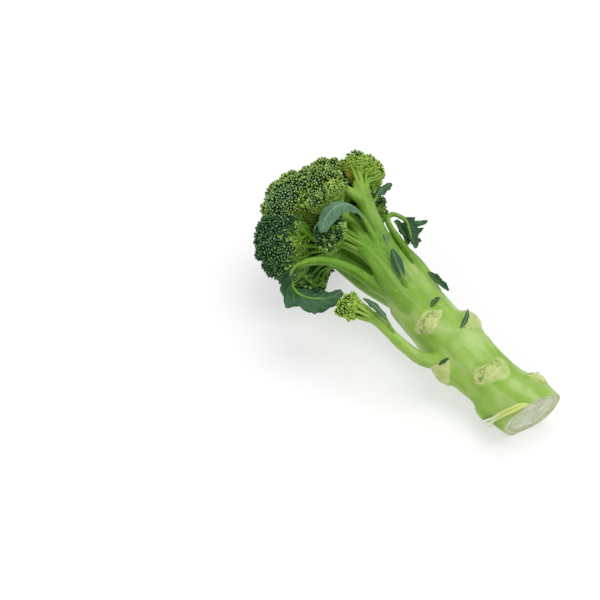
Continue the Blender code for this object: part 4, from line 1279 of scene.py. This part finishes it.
def strip_threads():
    """A strip of skin peeled from the rim of the foot in two strands, frayed at its end."""
    draw = np.random.default_rng(77)
    share = np.linspace(0, 1, 44)
    for k in range(13):
        second = k > 7
        lean = (k - 6) * 0.19 + (0.45 if second else -0.20)
        rise = 0.25 * math.cos(k * 1.3)
        curl = draw.normal(0, 1.0, 3)
        knots = [
            (-1.5 - 0.4 * abs(lean), -18.3 - rise * 0.3, -4.4 + 0.35 * lean),
            (-5.5, -18.9 - 0.6 * rise, -1.6 + 0.9 * lean),
            (-11.5, -19.2 - rise, 0.9 + 1.15 * lean),
            (-17.3, -17.6 - rise, 3.9 + 1.0 * lean),
            (-21.8, -14.0 - rise, 6.4 + 0.8 * lean),
            (-25.2 + 0.3 * curl[0], -10.2 + 0.5 * curl[1], 8.8 + 1.3 * lean + 0.4 * curl[2]),
            (-27.6 + 1.1 * curl[0], -6.8 + 1.2 * curl[1], 10.4 + 2.0 * lean + 0.9 * curl[2]),
            (-28.6 + 1.6 * curl[1], -4.0 + 1.3 * curl[2], 11.8 + 2.3 * lean + 1.6 * curl[0]),
        ]
        path = curve_through(knots[: 8 if k % 2 else 7], len(share))
        thick = (0.62 - 0.30 * fade(share, 0.55, 0.95)) * draw.uniform(0.8, 1.15)
        thick = thick * (0.35 + 0.65 * fade(share, 0.0, 0.15))
        yield np.column_stack([path, thick]), share + 0.16 * second


def torn_threads():
    """A torn edge of skin that stands up from the scar above the foot."""
    draw = np.random.default_rng(78)
    for share in np.linspace(0, 1, 15):
        base = np.array([9.7, -12.0, 8.8]) * (1 - share) + np.array([13.4, -8.8, 0.8]) * share
        peak = 1.0 + 4.2 * math.exp(-(((share - 0.42) / 0.20) ** 2))
        peak += 1.2 * math.exp(-(((share - 0.85) / 0.12) ** 2))
        tip = base + np.array([0.93, -0.10, 0.20]) * peak * draw.uniform(0.88, 1.05) + draw.normal(0, 0.10, 3)
        path = curve_through([base - (1.8, -1.5, 0.0), base, 0.5 * (base + tip) + (0.0, -0.35, 0.0), tip], 16)
        yield np.column_stack([path, np.linspace(0.62, 0.22, 16)]), np.linspace(0.40, 0.74, 16)


# The stage

def build_stage():
    size = 4.0
    floor = bpy.data.meshes.new("floor")
    corners = [(-size, -size, 0), (size, -size, 0), (size, size, 0), (-size, size, 0)]
    floor.from_pydata(corners, [], [(0, 1, 2, 3)])
    floor.materials.append(floor_look())
    stage = bpy.data.objects.new("floor", floor)
    bpy.context.scene.collection.objects.link(stage)
    world = bpy.data.worlds.new("studio")
    world.use_nodes = True
    background = world.node_tree.nodes["Background"].inputs
    background["Color"].default_value = (1.0, 1.0, 1.0, 1.0)
    background["Strength"].default_value = 0.64
    bpy.context.scene.world = world
    for name, way, strength, spread in LIGHTS:
        lamp = bpy.data.lights.new(name, "SUN")
        lamp.energy = strength
        lamp.angle = math.radians(spread)
        holder = bpy.data.objects.new(name, lamp)
        holder.rotation_euler = Vector(way).to_track_quat("Z", "Y").to_euler()
        bpy.context.scene.collection.objects.link(holder)


def build_camera():
    """The photograph's view: level, from the front right of the plant and above."""
    azimuth, elevation = (math.radians(angle) for angle in CAMERA_ANGLES)
    flat = math.cos(elevation)
    back = Vector((math.sin(azimuth) * flat, -math.cos(azimuth) * flat, math.sin(elevation)))
    camera = bpy.data.objects.new("camera", bpy.data.cameras.new("camera"))
    camera.data.angle = math.radians(CAMERA_WIDE)
    camera.data.clip_start = 0.01
    camera.location = (Vector(CAMERA_TARGET) + back * CAMERA_AWAY) * MM
    camera.rotation_euler = (-back).to_track_quat("-Z", "Y").to_euler()
    bpy.context.scene.collection.objects.link(camera)
    bpy.context.scene.camera = camera


STALK, CUT, BUDS, LEAF, FIBRE = stalk_look(), cut_look(), bud_look(), leaf_look(), fibre_look()

build_camera()
build_stage()
build_stalk()
for name in BUNCHES:
    build_bunch(name)
for seed, (name, blade) in enumerate(BLADES.items()):
    build_blade(name, seed, True, *blade)
for seed, (name, blade) in enumerate(SMALL_LEAVES.items()):
    build_blade(name, 20 + seed, False, *blade)
build_ribs()
build_threads("peeled_strip", list(strip_threads()))
build_threads("torn_skin", list(torn_threads()))

bpy.context.scene.view_settings.view_transform = "Standard"
